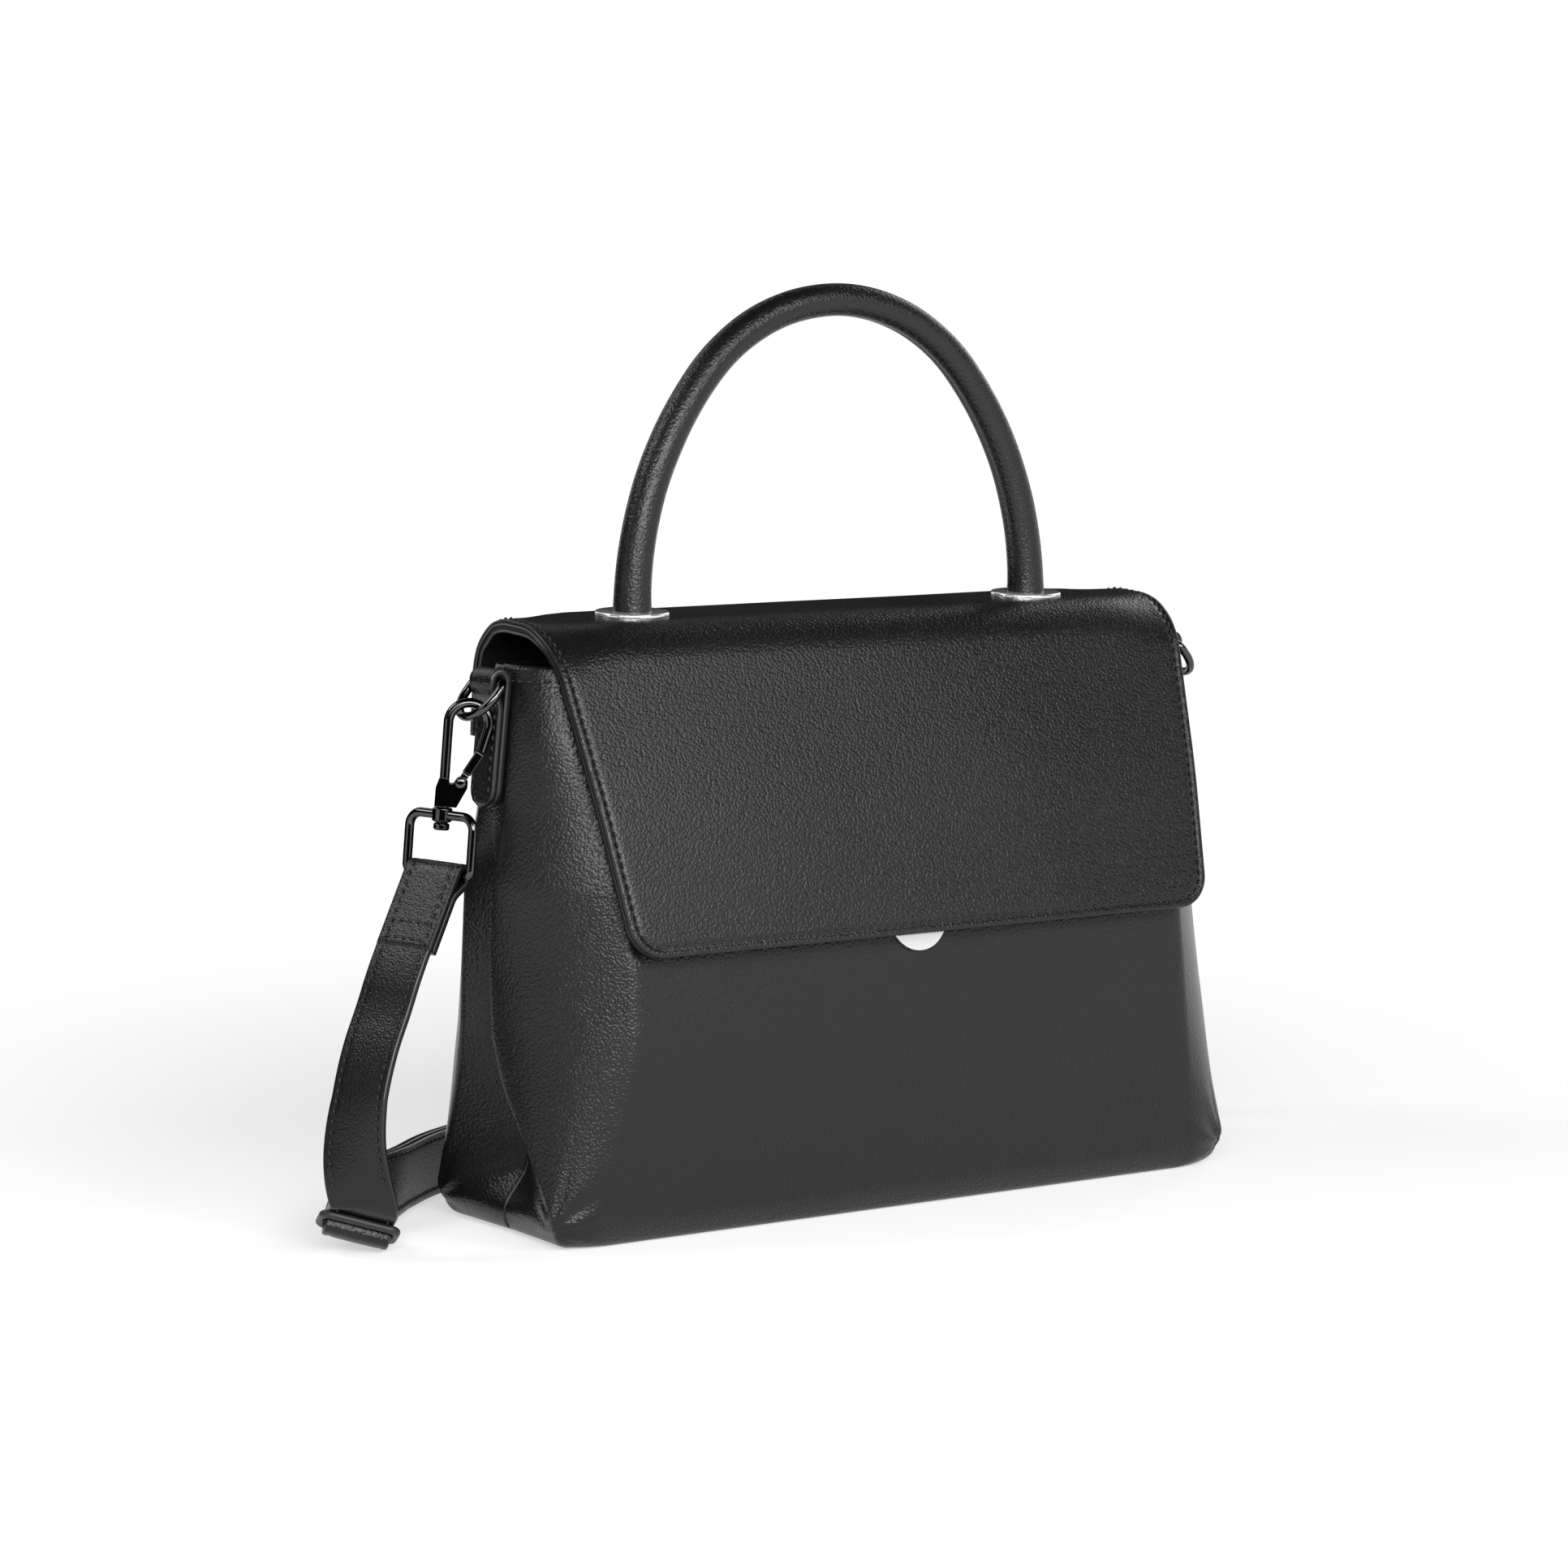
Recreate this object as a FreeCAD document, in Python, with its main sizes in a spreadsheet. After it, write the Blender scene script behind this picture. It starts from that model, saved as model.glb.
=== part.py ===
import FreeCAD, Part
import math
import os
from types import SimpleNamespace

import Sketcher
from FreeCAD import Placement, Rotation, Vector

# A structured leather bag with a flap, a rigid top handle and a clip-on shoulder strap.
# Frame: X to the bag's right, Y to its back, Z up, origin on the floor under its middle.

SIZES = {
    # Body of the bag
    "body_half_width": 147, "body_half_depth": 47.5, "body_height": 190,
    "leather": 2.2, "skin_gap": 0.3, "lining_cloth": 0.8,
    "facing_leather": 1.4, "facing_height": 25, "cut_overrun": 3,
    "board_half_length": 126, "board_half_width": 32, "board_thickness": 2, "board_corner": 8,
    # Flap, placed from the body's height and depth
    "hinge_drop": 26, "hinge_stand": 5.2, "crest_back_rise": 15.7, "crest_back_reach": 9.7,
    "crest_front_rise": 12.8, "crest_front_reach": 1.3, "brow_drop": 46.5, "brow_stand": 8,
    "flap_drop": 92.5, "flap_stand": 10.7, "crest_back_radius": 13, "crest_front_radius": 20,
    "brow_radius": 350, "flap_half_width": 129.5, "flap_foot_half_width": 118, "flap_corner": 11,
    "flap_leather": 2, "flap_stiffener": 0.7, "flap_backing": 1.3, "stiffener_inset": 6,
    "tail_length": 14, "tail_half_width": 116, "tail_leather": 2.4,
    # Handle
    "handle_half_span": 82.4, "handle_setback": 4.7, "handle_rise": 103.2,
    "handle_radius": 6, "handle_core_radius": 4, "handle_bore_radius": 2.9, "handle_gap": 0.3,
    "plate_half_length": 13, "plate_half_width": 11.5, "plate_thickness": 1.2,
    "washer_radius": 7, "washer_thickness": 1, "screw_radius": 2, "screw_reach": 9,
    "screw_head_radius": 4, "screw_head_height": 2.4, "screw_clearance": 0.3,
    # Lock
    "lock_radius": 11.5, "lock_thickness": 1.6, "lock_seat_gap": 0.15, "lock_rise": 3.5,
    "lock_magnet_radius": 7, "lock_magnet_thickness": 2, "magnet_clearance": 0.2,
    "flap_magnet_radius": 8, "flap_magnet_stand": 2.6, "flap_magnet_rise": 8, "magnet_washer_radius": 9,
    # Ring tabs and D-rings
    "tab_leather": 2.2, "tab_width": 14, "tab_length": 42, "tab_taper": 10, "tab_end_corner": 6.5,
    "tab_drop": 25, "tab_rise": 20, "ring_clearance": 0.45,
    "ring_wire_radius": 1.5, "ring_radius": 9.6, "ring_depth": 15, "ring_corner": 3.2,
    # Snap hooks
    "hook_outer_radius": 6.8, "hook_bar": 2.9, "hook_thickness": 3.2, "hook_hang": 1.1, "hook_nose_drop": 1,
    "hook_block_top": 18, "hook_block_height": 10.8, "hook_block_back": 7.4, "hook_block_front": 3,
    "hook_block_thickness": 5.4, "gate_slot": 2.8, "gate_thickness": 1.6, "gate_half_width": 1.25,
    "gate_clearance": 0.5, "gate_pivot_inset": 3.1, "gate_pivot_depth": 2.6, "gate_pin_radius": 0.8,
    "gate_pin_clearance": 0.05, "gate_spring_radius": 1.5, "gate_spring_width": 0.4,
    "post_radius": 1.95, "post_clearance": 0.1, "post_head_radius": 2.7, "post_head_height": 2.4,
    "swivel_gap": 0.3, "barrel_radius": 3.35, "barrel_height": 4.8,
    # Strap loops, strap and slide
    "loop_wire_radius": 1.6, "loop_half_width": 13.35, "loop_height": 19.5, "loop_corner": 2.2,
    "strap_leather": 2.4, "strap_width": 22, "strap_gap": 0.3, "strap_sewn_length": 28, "strap_taper": 9,
    "strap_turn_length": 11, "slide_length": 27.5, "slide_bar": 3.2, "slide_slot": 3.7,
    "slide_slot_length": 23, "slide_thickness": 2.4, "slide_lead": 5.5,
    # Angles, in degrees
    "tab_lean": 6, "ring_tilt": 40, "hook_yaw": 30, "hang_lean": 5, "loop_yaw_left": 21,
    "strap_lean": 26, "hang_lean_right": 32,
}

# Sections of the body, bottom to top. Each row has the height, the side fold's valley, and the
# ridge, corner and front points, as shares of the body's height, half width and half depth.
BODY_SHARES = [
    (0.000, 0.912, (0.918, 0.695), (0.898, 0.768), (0.810, 0.789)),
    (0.042, 0.939, (0.956, 0.811), (0.932, 0.863), (0.830, 0.891)),
    (0.111, 0.862, (0.965, 0.674), (0.946, 0.821), (0.823, 0.926)),
    (0.174, 0.857, (0.973, 0.526), (0.935, 0.800), (0.810, 0.958)),
    (0.279, 0.888, (0.992, 0.295), (0.939, 0.705), (0.789, 0.989)),
    (0.363, 0.912, (1.000, 0.200), (0.931, 0.653), (0.776, 1.000)),
    (0.495, 0.935, (1.000, 0.179), (0.912, 0.600), (0.769, 0.958)),
    (0.621, 0.942, (0.993, 0.179), (0.903, 0.589), (0.776, 0.863)),
    (0.747, 0.952, (0.956, 0.168), (0.891, 0.505), (0.782, 0.726)),
    (0.868, 0.939, (0.935, 0.168), (0.888, 0.432), (0.796, 0.568)),
    (1.000, 0.918, (0.915, 0.105), (0.884, 0.284), (0.816, 0.400)),
]

doc = FreeCAD.newDocument("top_handle_bag")
sheet = doc.addObject("Spreadsheet::Sheet", "sizes")
for row, (alias, value) in enumerate(SIZES.items(), start=1):
    sheet.set(f"A{row}", alias)
    sheet.set(f"B{row}", str(value))
    sheet.setAlias(f"B{row}", alias)
doc.recompute()
v = SimpleNamespace(**{alias: float(sheet.get(alias)) for alias in SIZES})

EX, EY, EZ = Vector(1, 0, 0), Vector(0, 1, 0), Vector(0, 0, 1)
LEFT, RIGHT = "left", "right"


def place(position=Vector(), rotation=Rotation()):
    return Placement(position, rotation)


def turn(axis, degrees, centre=Vector()):
    """A turn about an axis through a centre."""
    return Placement(Vector(), Rotation(axis, degrees), centre)


def frame(position, x_axis, z_axis):
    """A placement whose X and Z axes point along two square directions."""
    return Placement(position, Rotation(x_axis, z_axis.cross(x_axis), z_axis, "ZXY"))


def lerp(first, second, share):
    return first + (second - first) * share


# Document objects


def new_body(label):
    body = doc.addObject("PartDesign::Body", label)
    body.Label = label
    return body


def new_sketch(body, name, role, geometry=(), offset=Placement()):
    """A sketch on one of the body's own origin planes."""
    sketch = body.newObject("Sketcher::SketchObject", name)
    plane = next(item for item in body.Origin.OriginFeatures if item.Role == role)
    sketch.AttachmentSupport = [(plane, "")]
    sketch.MapMode = "FlatFace"
    sketch.AttachmentOffset = offset
    for item in geometry:
        sketch.addGeometry(item, False)
    return sketch


def add_circle(sketch, expression, x=0.0, y=0.0):
    """A circle whose radius is bound to the sheet."""
    radius = float(sheet.evalExpression(expression.replace("sizes.", "")))
    index = sketch.addGeometry(Part.Circle(Vector(x, y, 0), EZ, radius), False)
    constraint = sketch.addConstraint(Sketcher.Constraint("Radius", index, radius))
    sketch.setExpression(f"Constraints[{constraint}]", expression)


def pad(sketch, expression, symmetric=False, reversed_way=False):
    feature = sketch.getParent().newObject("PartDesign::Pad", sketch.Name + "_pad")
    feature.Profile = sketch
    feature.setExpression("Length", expression)
    feature.SideType = "Symmetric" if symmetric else "One side"
    feature.Reversed = reversed_way
    doc.recompute()
    return feature


def pocket(sketch, length=None, symmetric=True, reversed_way=False):
    """Cuts the sketch through its body, all the way or for a length, and makes sure that it cut."""
    body = sketch.getParent()
    before = body.Shape.Volume
    feature = body.newObject("PartDesign::Pocket", sketch.Name + "_pocket")
    feature.Profile = sketch
    if length:
        feature.setExpression("Length", length)
    else:
        feature.Type = "ThroughAll"
    feature.SideType = "Symmetric" if symmetric else "One side"
    feature.Reversed = reversed_way
    doc.recompute()
    if body.Shape.Volume >= before:
        raise RuntimeError(f"{feature.Name} cut nothing")
    return feature


def pipe(profile, spine):
    feature = profile.getParent().newObject("PartDesign::AdditivePipe", profile.Name + "_pipe")
    feature.Profile = profile
    feature.Spine = spine
    doc.recompute()
    return feature


def solid_node(label, shape):
    """A node whose shape is made here from the sheet's sizes."""
    node = doc.addObject("Part::Feature", label)
    node.Label = label
    node.Shape = shape
    return node


def flat_points(points):
    return [Vector(x, y, 0) for x, y in points]


def closed_lines(points):
    """Line segments round a closed outline of flat points."""
    ends = points[1:] + points[:1]
    return [Part.LineSegment(Vector(*a, 0), Vector(*b, 0)) for a, b in zip(points, ends)]


def line(a, b):
    return Part.LineSegment(Vector(*a, 0), Vector(*b, 0))


def arc(a, middle, b):
    return Part.Arc(Vector(*a, 0), Vector(*middle, 0), Vector(*b, 0))


def corner_arc(before, corner, after, radius):
    """The tangent points and the middle of a fillet at a corner of a flat path."""
    back = (Vector(*before, 0) - Vector(*corner, 0)).normalize()
    on = (Vector(*after, 0) - Vector(*corner, 0)).normalize()
    half = back.getAngle(on) / 2
    reach = radius / math.tan(half)
    centre = Vector(*corner, 0) + (back + on).normalize() * (radius / math.sin(half))
    middle = centre + (Vector(*corner, 0) - centre).normalize() * radius
    start = Vector(*corner, 0) + back * reach
    end = Vector(*corner, 0) + on * reach
    return [(p.x, p.y) for p in (start, middle, end)]


def rounded_outline(points, radii):
    """Lines and fillets round a closed outline. A radius of zero keeps a sharp corner."""
    ends = []
    edges = []
    count = len(points)
    for index, (point, radius) in enumerate(zip(points, radii)):
        if radius:
            fillet = corner_arc(points[index - 1], point, points[(index + 1) % count], radius)
            ends.append((fillet[0], fillet[2]))
            edges.append(arc(*fillet))
        else:
            ends.append((point, point))
    for (_, leave), (arrive, _) in zip(ends, ends[1:] + ends[:1]):
        edges.append(line(leave, arrive))
    return edges


def rectangle(half_x, half_y, centre_y=0.0):
    low, high = centre_y - half_y, centre_y + half_y
    return [(-half_x, low), (half_x, low), (half_x, high), (-half_x, high)]


# Body of the bag


def body_points(height):
    """Valley, ridge, corner and front points of the body at a height."""
    share = min(max(height / v.body_height, 0), 1)
    for low, high in zip(BODY_SHARES, BODY_SHARES[1:]):
        if share <= high[0]:
            break
    blend = (share - low[0]) / (high[0] - low[0])

    def point(index):
        x = lerp(low[index][0], high[index][0], blend) * v.body_half_width
        y = lerp(low[index][1], high[index][1], blend) * v.body_half_depth
        return Vector(x, y, 0)

    valley = Vector(lerp(low[1], high[1], blend) * v.body_half_width, 0, 0)
    return [valley, point(2), point(3), point(4)]


def inset_points(height, inset):
    """The same four points, moved inwards by an even thickness."""
    valley, ridge, corner, front = body_points(height)

    def inward(a, b):
        along = (b - a).normalize()
        return Vector(-along.y, along.x, 0)

    def mitre(point, first, second):
        return point + (first + second) * (inset / (1 + first.dot(second)))

    side, wrap_side, wrap_front = inward(valley, ridge), inward(ridge, corner), inward(corner, front)
    flat = Vector(0, -1, 0)
    return [
        Vector(valley.x + inset / side.x, 0, 0),
        mitre(ridge, side, wrap_side),
        mitre(corner, wrap_side, wrap_front),
        mitre(front, wrap_front, flat),
    ]


def mirror(point, sign_x, sign_y, height):
    return Vector(point.x * sign_x, point.y * sign_y, height)


def section_wire(height, level, inset, sides):
    """The body's outline at one level: both halves, or the front (-1) or back (1) one."""
    valley, ridge, corner, front = inset_points(height, inset)
    edges = []
    for sign in sides:
        for side in (1, -1):
            way = [mirror(p, side, sign, level) for p in (valley, ridge, corner, front)]
            edges.append(Part.makeLine(way[0], way[1]))
            edges.append(Part.Arc(way[1], way[2], way[3]).toShape())
        right_front = mirror(front, 1, sign, level)
        edges.append(Part.makeLine(right_front, mirror(front, -1, sign, level)))
    if len(sides) == 1:
        edges.append(Part.makeLine(mirror(valley, 1, 1, level), mirror(valley, -1, 1, level)))
    return Part.Wire(Part.__sortEdges__(edges))


def body_loft(low, high, inset, sides=(-1, 1), overrun=0.0):
    """A ruled body between two heights, inset by a thickness and run on above the top."""
    heights = [share[0] * v.body_height for share in BODY_SHARES]
    levels = [low] + [z for z in heights if low < z < high] + [high]
    wires = [section_wire(z, z, inset, sides) for z in levels]
    if overrun:
        wires.append(section_wire(high, high + overrun, inset, sides))
    return Part.makeLoft(wires, True, True)


def panel_depth(height):
    """How far the front or back panel stands from the middle plane."""
    return body_points(height)[3].y


hollow = body_loft(v.leather, v.body_height, v.leather, overrun=v.cut_overrun)
back_panel = solid_node("back_panel", body_loft(0, v.body_height, 0, (1,)).cut(hollow))

lining_inset = v.leather + v.skin_gap
lining_floor = v.leather + v.board_thickness + v.skin_gap
facing_foot = v.body_height - v.facing_height
lining_top = facing_foot - v.skin_gap
lining_outside = body_loft(lining_floor, lining_top, lining_inset)
lining_inside = body_loft(
    lining_floor + v.lining_cloth, lining_top, lining_inset + v.lining_cloth, overrun=v.cut_overrun
)
lining = solid_node("lining", lining_outside.cut(lining_inside))

facing_outside = body_loft(facing_foot, v.body_height, lining_inset)
facing_inside = body_loft(
    facing_foot - v.cut_overrun, v.body_height, lining_inset + v.facing_leather, overrun=v.cut_overrun
)
mouth_facing = solid_node("mouth_facing", facing_outside.cut(facing_inside))

base_board = new_body("base_board")
board_outline = rounded_outline(rectangle(v.board_half_length, v.board_half_width), [v.board_corner] * 4)
pad(new_sketch(base_board, "board_outline", "XY_Plane", board_outline), "sizes.board_thickness")
base_board.setExpression("Placement.Base.z", "sizes.leather")

# Flap: one folded profile in the Y-Z plane, with its layers inset from the outer face

hinge_z = v.body_height - v.hinge_drop
hinge = (panel_depth(hinge_z) + v.hinge_stand, hinge_z)
crest_back = (panel_depth(v.body_height) + v.crest_back_reach, v.body_height + v.crest_back_rise)
crest_front = (-panel_depth(v.body_height) - v.crest_front_reach, v.body_height + v.crest_front_rise)
brow_z = v.body_height - v.brow_drop
brow = (-panel_depth(brow_z) - v.brow_stand, brow_z)
edge_z = v.body_height - v.flap_drop
flap_edge = (-panel_depth(edge_z) - v.flap_stand, edge_z)
flap_path = [hinge, crest_back, crest_front, brow, flap_edge]
flap_radii = [v.crest_back_radius, v.crest_front_radius, v.brow_radius]
flap_thickness = v.flap_leather + v.flap_stiffener + v.flap_backing


def offset_path(points, depth):
    """A bent path moved to its left by a depth, as flat points."""
    flat = flat_points(points)
    ways = [(b - a).normalize() for a, b in zip(flat, flat[1:])]
    normals = [Vector(-way.y, way.x, 0) for way in ways]
    moved = [flat[0] + normals[0] * depth]
    for point, first, second in zip(flat[1:-1], normals, normals[1:]):
        moved.append(point + (first + second) * (depth / (1 + first.dot(second))))
    moved.append(flat[-1] + normals[-1] * depth)
    return [(p.x, p.y) for p in moved]


def bent_edges(points, radii):
    """An open path of lines and fillets."""
    edges = []
    start = points[0]
    for index, radius in enumerate(radii, start=1):
        fillet = corner_arc(points[index - 1], points[index], points[index + 1], radius)
        edges.append(line(start, fillet[0]))
        edges.append(arc(*fillet))
        start = fillet[2]
    edges.append(line(start, points[-1]))
    return edges


def flap_layer(label, outer, inner, drills, inset=None):
    """One layer of the flap, between two depths below its outer face, with its holes."""
    top = offset_path(flap_path, outer)
    under = offset_path(flap_path, inner)
    outline = bent_edges(top, [radius - outer for radius in flap_radii])
    outline += bent_edges(under, [radius - inner for radius in flap_radii])
    outline += [line(top[0], under[0]), line(top[-1], under[-1])]
    body = new_body(label + "_sheet")
    profile = new_sketch(body, label + "_profile", "YZ_Plane", outline)
    less = f" - 2 * sizes.{inset}" if inset else ""
    pad(profile, "2 * sizes.flap_half_width" + less, symmetric=True)
    margin = getattr(v, inset) if inset else 0.0
    half, foot_half = v.flap_half_width - margin, v.flap_foot_half_width - margin
    roof = max(crest_back[1], crest_front[1]) + v.cut_overrun
    lowest = under[-1][1] + margin - v.skin_gap
    trim = [(half, roof), (-half, roof), (-half, crest_front[1]), (-foot_half, lowest),
            (foot_half, lowest), (half, crest_front[1])]
    edges = rounded_outline(trim, [0, 0, 0, v.flap_corner, v.flap_corner, 0])
    reach = v.flap_half_width + v.cut_overrun
    edges += closed_lines([(-reach, 0.0), (reach, 0.0), (reach, roof + reach), (-reach, roof + reach)])
    pocket(new_sketch(body, label + "_trim", "XZ_Plane", edges), symmetric=False, reversed_way=True)
    tool = solid_node(label + "_holes", Part.makeCompound(drills))
    layer = doc.addObject("Part::Cut", label)
    layer.Label = label
    layer.Base = body
    layer.Tool = tool
    doc.recompute()
    return layer


roof_slope = (crest_back[1] - crest_front[1]) / (crest_back[0] - crest_front[0])
roof_tilt = math.degrees(math.atan(roof_slope))
roof_z = crest_front[1] + (v.handle_setback - crest_front[0]) * roof_slope


def roof_frame(sign):
    """The handle's foot on the flap's roof, with Z square to the roof."""
    return place(Vector(sign * v.handle_half_span, v.handle_setback, roof_z), Rotation(EX, roof_tilt))


def roof_offset(height):
    return place(Vector(0, 0, height))


def drill(at, radius, low, high):
    """A cylinder along the Z axis of a placement, between two heights."""
    shape = Part.makeCylinder(radius, high - low, Vector(0, 0, low))
    shape.Placement = at.multiply(shape.Placement)
    return shape


flap_way = (Vector(0, *flap_edge) - Vector(0, *brow)).normalize()
flap_inward = Vector(0, -flap_way.z, flap_way.y)
magnet_frame = frame(Vector(0, *flap_edge) - flap_way * v.flap_magnet_rise, EX, flap_inward)
backing_depth = v.flap_leather + v.flap_stiffener

screw_hole_radius = v.screw_radius + v.screw_clearance
screw_holes = [
    drill(roof_frame(sign), screw_hole_radius, -flap_thickness - v.cut_overrun, v.cut_overrun)
    for sign in (-1, 1)
]
washer_hole = drill(magnet_frame, v.magnet_washer_radius + v.magnet_clearance, 0, flap_thickness)
magnet_hole = drill(magnet_frame, v.flap_magnet_radius + v.magnet_clearance, backing_depth - v.cut_overrun,
                    flap_thickness + v.cut_overrun)

nodes = [back_panel, lining, mouth_facing, base_board]
nodes.append(flap_layer("flap_outer", 0.0, v.flap_leather, screw_holes))
nodes.append(flap_layer("flap_board", v.flap_leather, backing_depth, screw_holes + [washer_hole],
                        "stiffener_inset"))
nodes.append(flap_layer("flap_lining", backing_depth, flap_thickness, screw_holes + [magnet_hole]))


def disc(label, at, radius, thickness, hole=None):
    """A round plate that stands on a placement, with an optional hole."""
    body = new_body(label)
    sketch = new_sketch(body, label + "_outline", "XY_Plane")
    add_circle(sketch, radius)
    if hole:
        add_circle(sketch, hole)
    pad(sketch, thickness)
    body.Placement = at
    return body


nodes.append(disc("flap_magnet_washer", magnet_frame.multiply(roof_offset(v.flap_leather)),
                  "sizes.magnet_washer_radius", "sizes.flap_stiffener"))
nodes.append(disc("flap_magnet", magnet_frame.multiply(roof_offset(backing_depth)),
                  "sizes.flap_magnet_radius", "sizes.flap_backing + sizes.flap_magnet_stand"))

# The flap's sewn tail, which follows the back panel under the hinge

tail_top, tail_foot = hinge_z - 2 * v.skin_gap, hinge_z - v.tail_length
tail_outline = closed_lines([
    (panel_depth(tail_top) + v.skin_gap, tail_top),
    (hinge[0], tail_top),
    (panel_depth(tail_foot) + v.skin_gap + v.tail_leather, tail_foot),
    (panel_depth(tail_foot) + v.skin_gap, tail_foot),
])
flap_tail = new_body("flap_tail")
pad(new_sketch(flap_tail, "tail_profile", "YZ_Plane", tail_outline), "2 * sizes.tail_half_width", symmetric=True)
nodes.append(flap_tail)

# Lock plate on the front panel, with its magnet let into the panel

lock_z = edge_z + v.lock_rise
lock_slope = (panel_depth(lock_z) - panel_depth(lock_z + v.lock_radius)) / v.lock_radius
lock_normal = Vector(0, -1, lock_slope).normalize()
lock_seat = Vector(0, -panel_depth(lock_z), lock_z)
lock_frame = frame(lock_seat + lock_normal * v.lock_seat_gap, EX, lock_normal)
nodes.append(disc("lock_plate", lock_frame, "sizes.lock_radius", "sizes.lock_thickness"))
magnet_depth = v.lock_magnet_thickness + 2 * v.lock_seat_gap
nodes.append(disc("lock_magnet", lock_frame.multiply(roof_offset(-magnet_depth)),
                  "sizes.lock_magnet_radius", "sizes.lock_magnet_thickness"))
lock_hole = drill(lock_frame, v.lock_magnet_radius + v.magnet_clearance,
                  -v.leather - v.cut_overrun, v.cut_overrun)
front_panel = solid_node("front_panel", body_loft(0, v.body_height, 0, (-1,)).cut(hollow).cut(lock_hole))
nodes.append(front_panel)

# Handle: a covered tube on two oval plates, screwed on from under the flap

plate_top = v.plate_thickness / math.cos(math.radians(roof_tilt))
foot_z = roof_z + plate_top
span, rise = v.handle_half_span, v.handle_rise
HANDLE_TOP_SHARE = 0.8495
top_radius = span * HANDLE_TOP_SHARE
foot_radius = (span ** 2 + (rise - top_radius) ** 2 - top_radius ** 2) / (2 * (span - top_radius))
join_share = top_radius / (foot_radius - top_radius)
join_x = (foot_radius - span) * join_share
join_z = foot_z + (rise - top_radius) * (1 + join_share)
half_turn = math.atan2(join_z - foot_z, join_x - span + foot_radius) / 2
bend_x = span - foot_radius + foot_radius * math.cos(half_turn)
bend_z = foot_z + foot_radius * math.sin(half_turn)
start_z = foot_z - v.handle_radius


def handle_tube(label, outer, inner):
    """A tube along the handle's arch, cut off on top of its tilted plates."""
    body = new_body(label)
    arch = [
        line((span, start_z), (span, foot_z)),
        arc((span, foot_z), (bend_x, bend_z), (join_x, join_z)),
        arc((join_x, join_z), (0, foot_z + rise), (-join_x, join_z)),
        arc((-join_x, join_z), (-bend_x, bend_z), (-span, foot_z)),
        line((-span, foot_z), (-span, start_z)),
    ]
    spine = new_sketch(body, label + "_arch", "XZ_Plane", arch)
    profile = new_sketch(body, label + "_ring", "XY_Plane", offset=place(Vector(0, 0, start_z)))
    add_circle(profile, outer, span)
    add_circle(profile, inner, span)
    pipe(profile, spine)
    wide = 2 * v.handle_radius
    below = [(-wide, foot_z - wide * roof_slope), (wide, foot_z + wide * roof_slope),
             (wide, start_z - wide), (-wide, start_z - wide)]
    pocket(new_sketch(body, label + "_foot", "YZ_Plane", closed_lines(below)))
    body.setExpression("Placement.Base.y", "sizes.handle_setback")
    return body


nodes.append(handle_tube("handle_cover", "sizes.handle_radius", "sizes.handle_core_radius + sizes.handle_gap"))
nodes.append(handle_tube("handle_core", "sizes.handle_core_radius", "sizes.handle_bore_radius"))

for sign, side in ((-1, LEFT), (1, RIGHT)):
    plate = new_body("handle_plate_" + side)
    ellipse = Part.Ellipse(Vector(), v.plate_half_length, v.plate_half_width)
    outline = new_sketch(plate, f"plate_{side}_outline", "XY_Plane", [ellipse])
    add_circle(outline, "sizes.screw_radius + sizes.screw_clearance")
    pad(outline, "sizes.plate_thickness")
    plate.Placement = roof_frame(sign)
    nodes.append(plate)

washer = disc("handle_washer", Placement(), "sizes.washer_radius", "sizes.washer_thickness",
              "sizes.screw_radius + sizes.screw_clearance")
screw = disc("handle_screw", Placement(), "sizes.screw_head_radius", "sizes.screw_head_height")
shank = new_sketch(screw, "screw_shank", "XY_Plane")
add_circle(shank, "sizes.screw_radius")
pad(shank, "sizes.screw_head_height + sizes.washer_thickness + sizes.flap_leather + sizes.flap_stiffener"
    " + sizes.flap_backing + sizes.plate_thickness + sizes.screw_reach")


def pair(label, piece, drop):
    """Two copies of a piece under the handle's feet, as one node."""
    copies = []
    for sign in (-1, 1):
        copy = piece.Shape.copy()
        copy.Placement = roof_frame(sign).multiply(roof_offset(-drop)).multiply(copy.Placement)
        copies.append(copy)
    return solid_node(label, Part.makeCompound(copies))


washer_drop = flap_thickness + v.washer_thickness
nodes.append(pair("handle_washers", washer, washer_drop))
nodes.append(pair("handle_screws", screw, washer_drop + v.screw_head_height))

# Ring tabs, D-rings, snap hooks and strap loops. Each side's set has its own frame on the axis of
# the ring's bar: X outwards, Y along the bar, Z up.

lean = math.radians(v.tab_lean)
tab_inner = v.ring_wire_radius + v.ring_clearance
tab_outer = tab_inner + v.tab_leather
tab_z = v.body_height - v.tab_drop
tab_x = body_points(tab_z)[0].x + v.skin_gap
ring_x = tab_x + tab_outer * math.cos(lean) - v.tab_rise * math.sin(lean)
ring_z = tab_z + tab_outer * math.sin(lean) + v.tab_rise * math.cos(lean)
SET_FRAMES = {
    LEFT: place(Vector(-ring_x, 0, ring_z), Rotation(EZ, 180)),
    RIGHT: place(Vector(ring_x, 0, ring_z)),
}


def folded_strip(label, inner, thickness, length, taper, width):
    """A strip folded over a bar at the origin, with both layers sewn together below it."""
    outer = inner + thickness
    outline = [
        line((-outer, -length), (-outer, 0)),
        arc((-outer, 0), (0, outer), (outer, 0)),
        line((outer, 0), (thickness - inner, -taper)),
        line((thickness - inner, -taper), (thickness - inner, -length)),
        line((thickness - inner, -length), (-outer, -length)),
        line((-inner, -taper), (-inner, 0)),
        arc((-inner, 0), (0, inner), (inner, 0)),
        line((inner, 0), (-inner, -taper)),
    ]
    body = new_body(label)
    pad(new_sketch(body, label + "_profile", "XZ_Plane", outline), width, symmetric=True)
    return body


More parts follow.
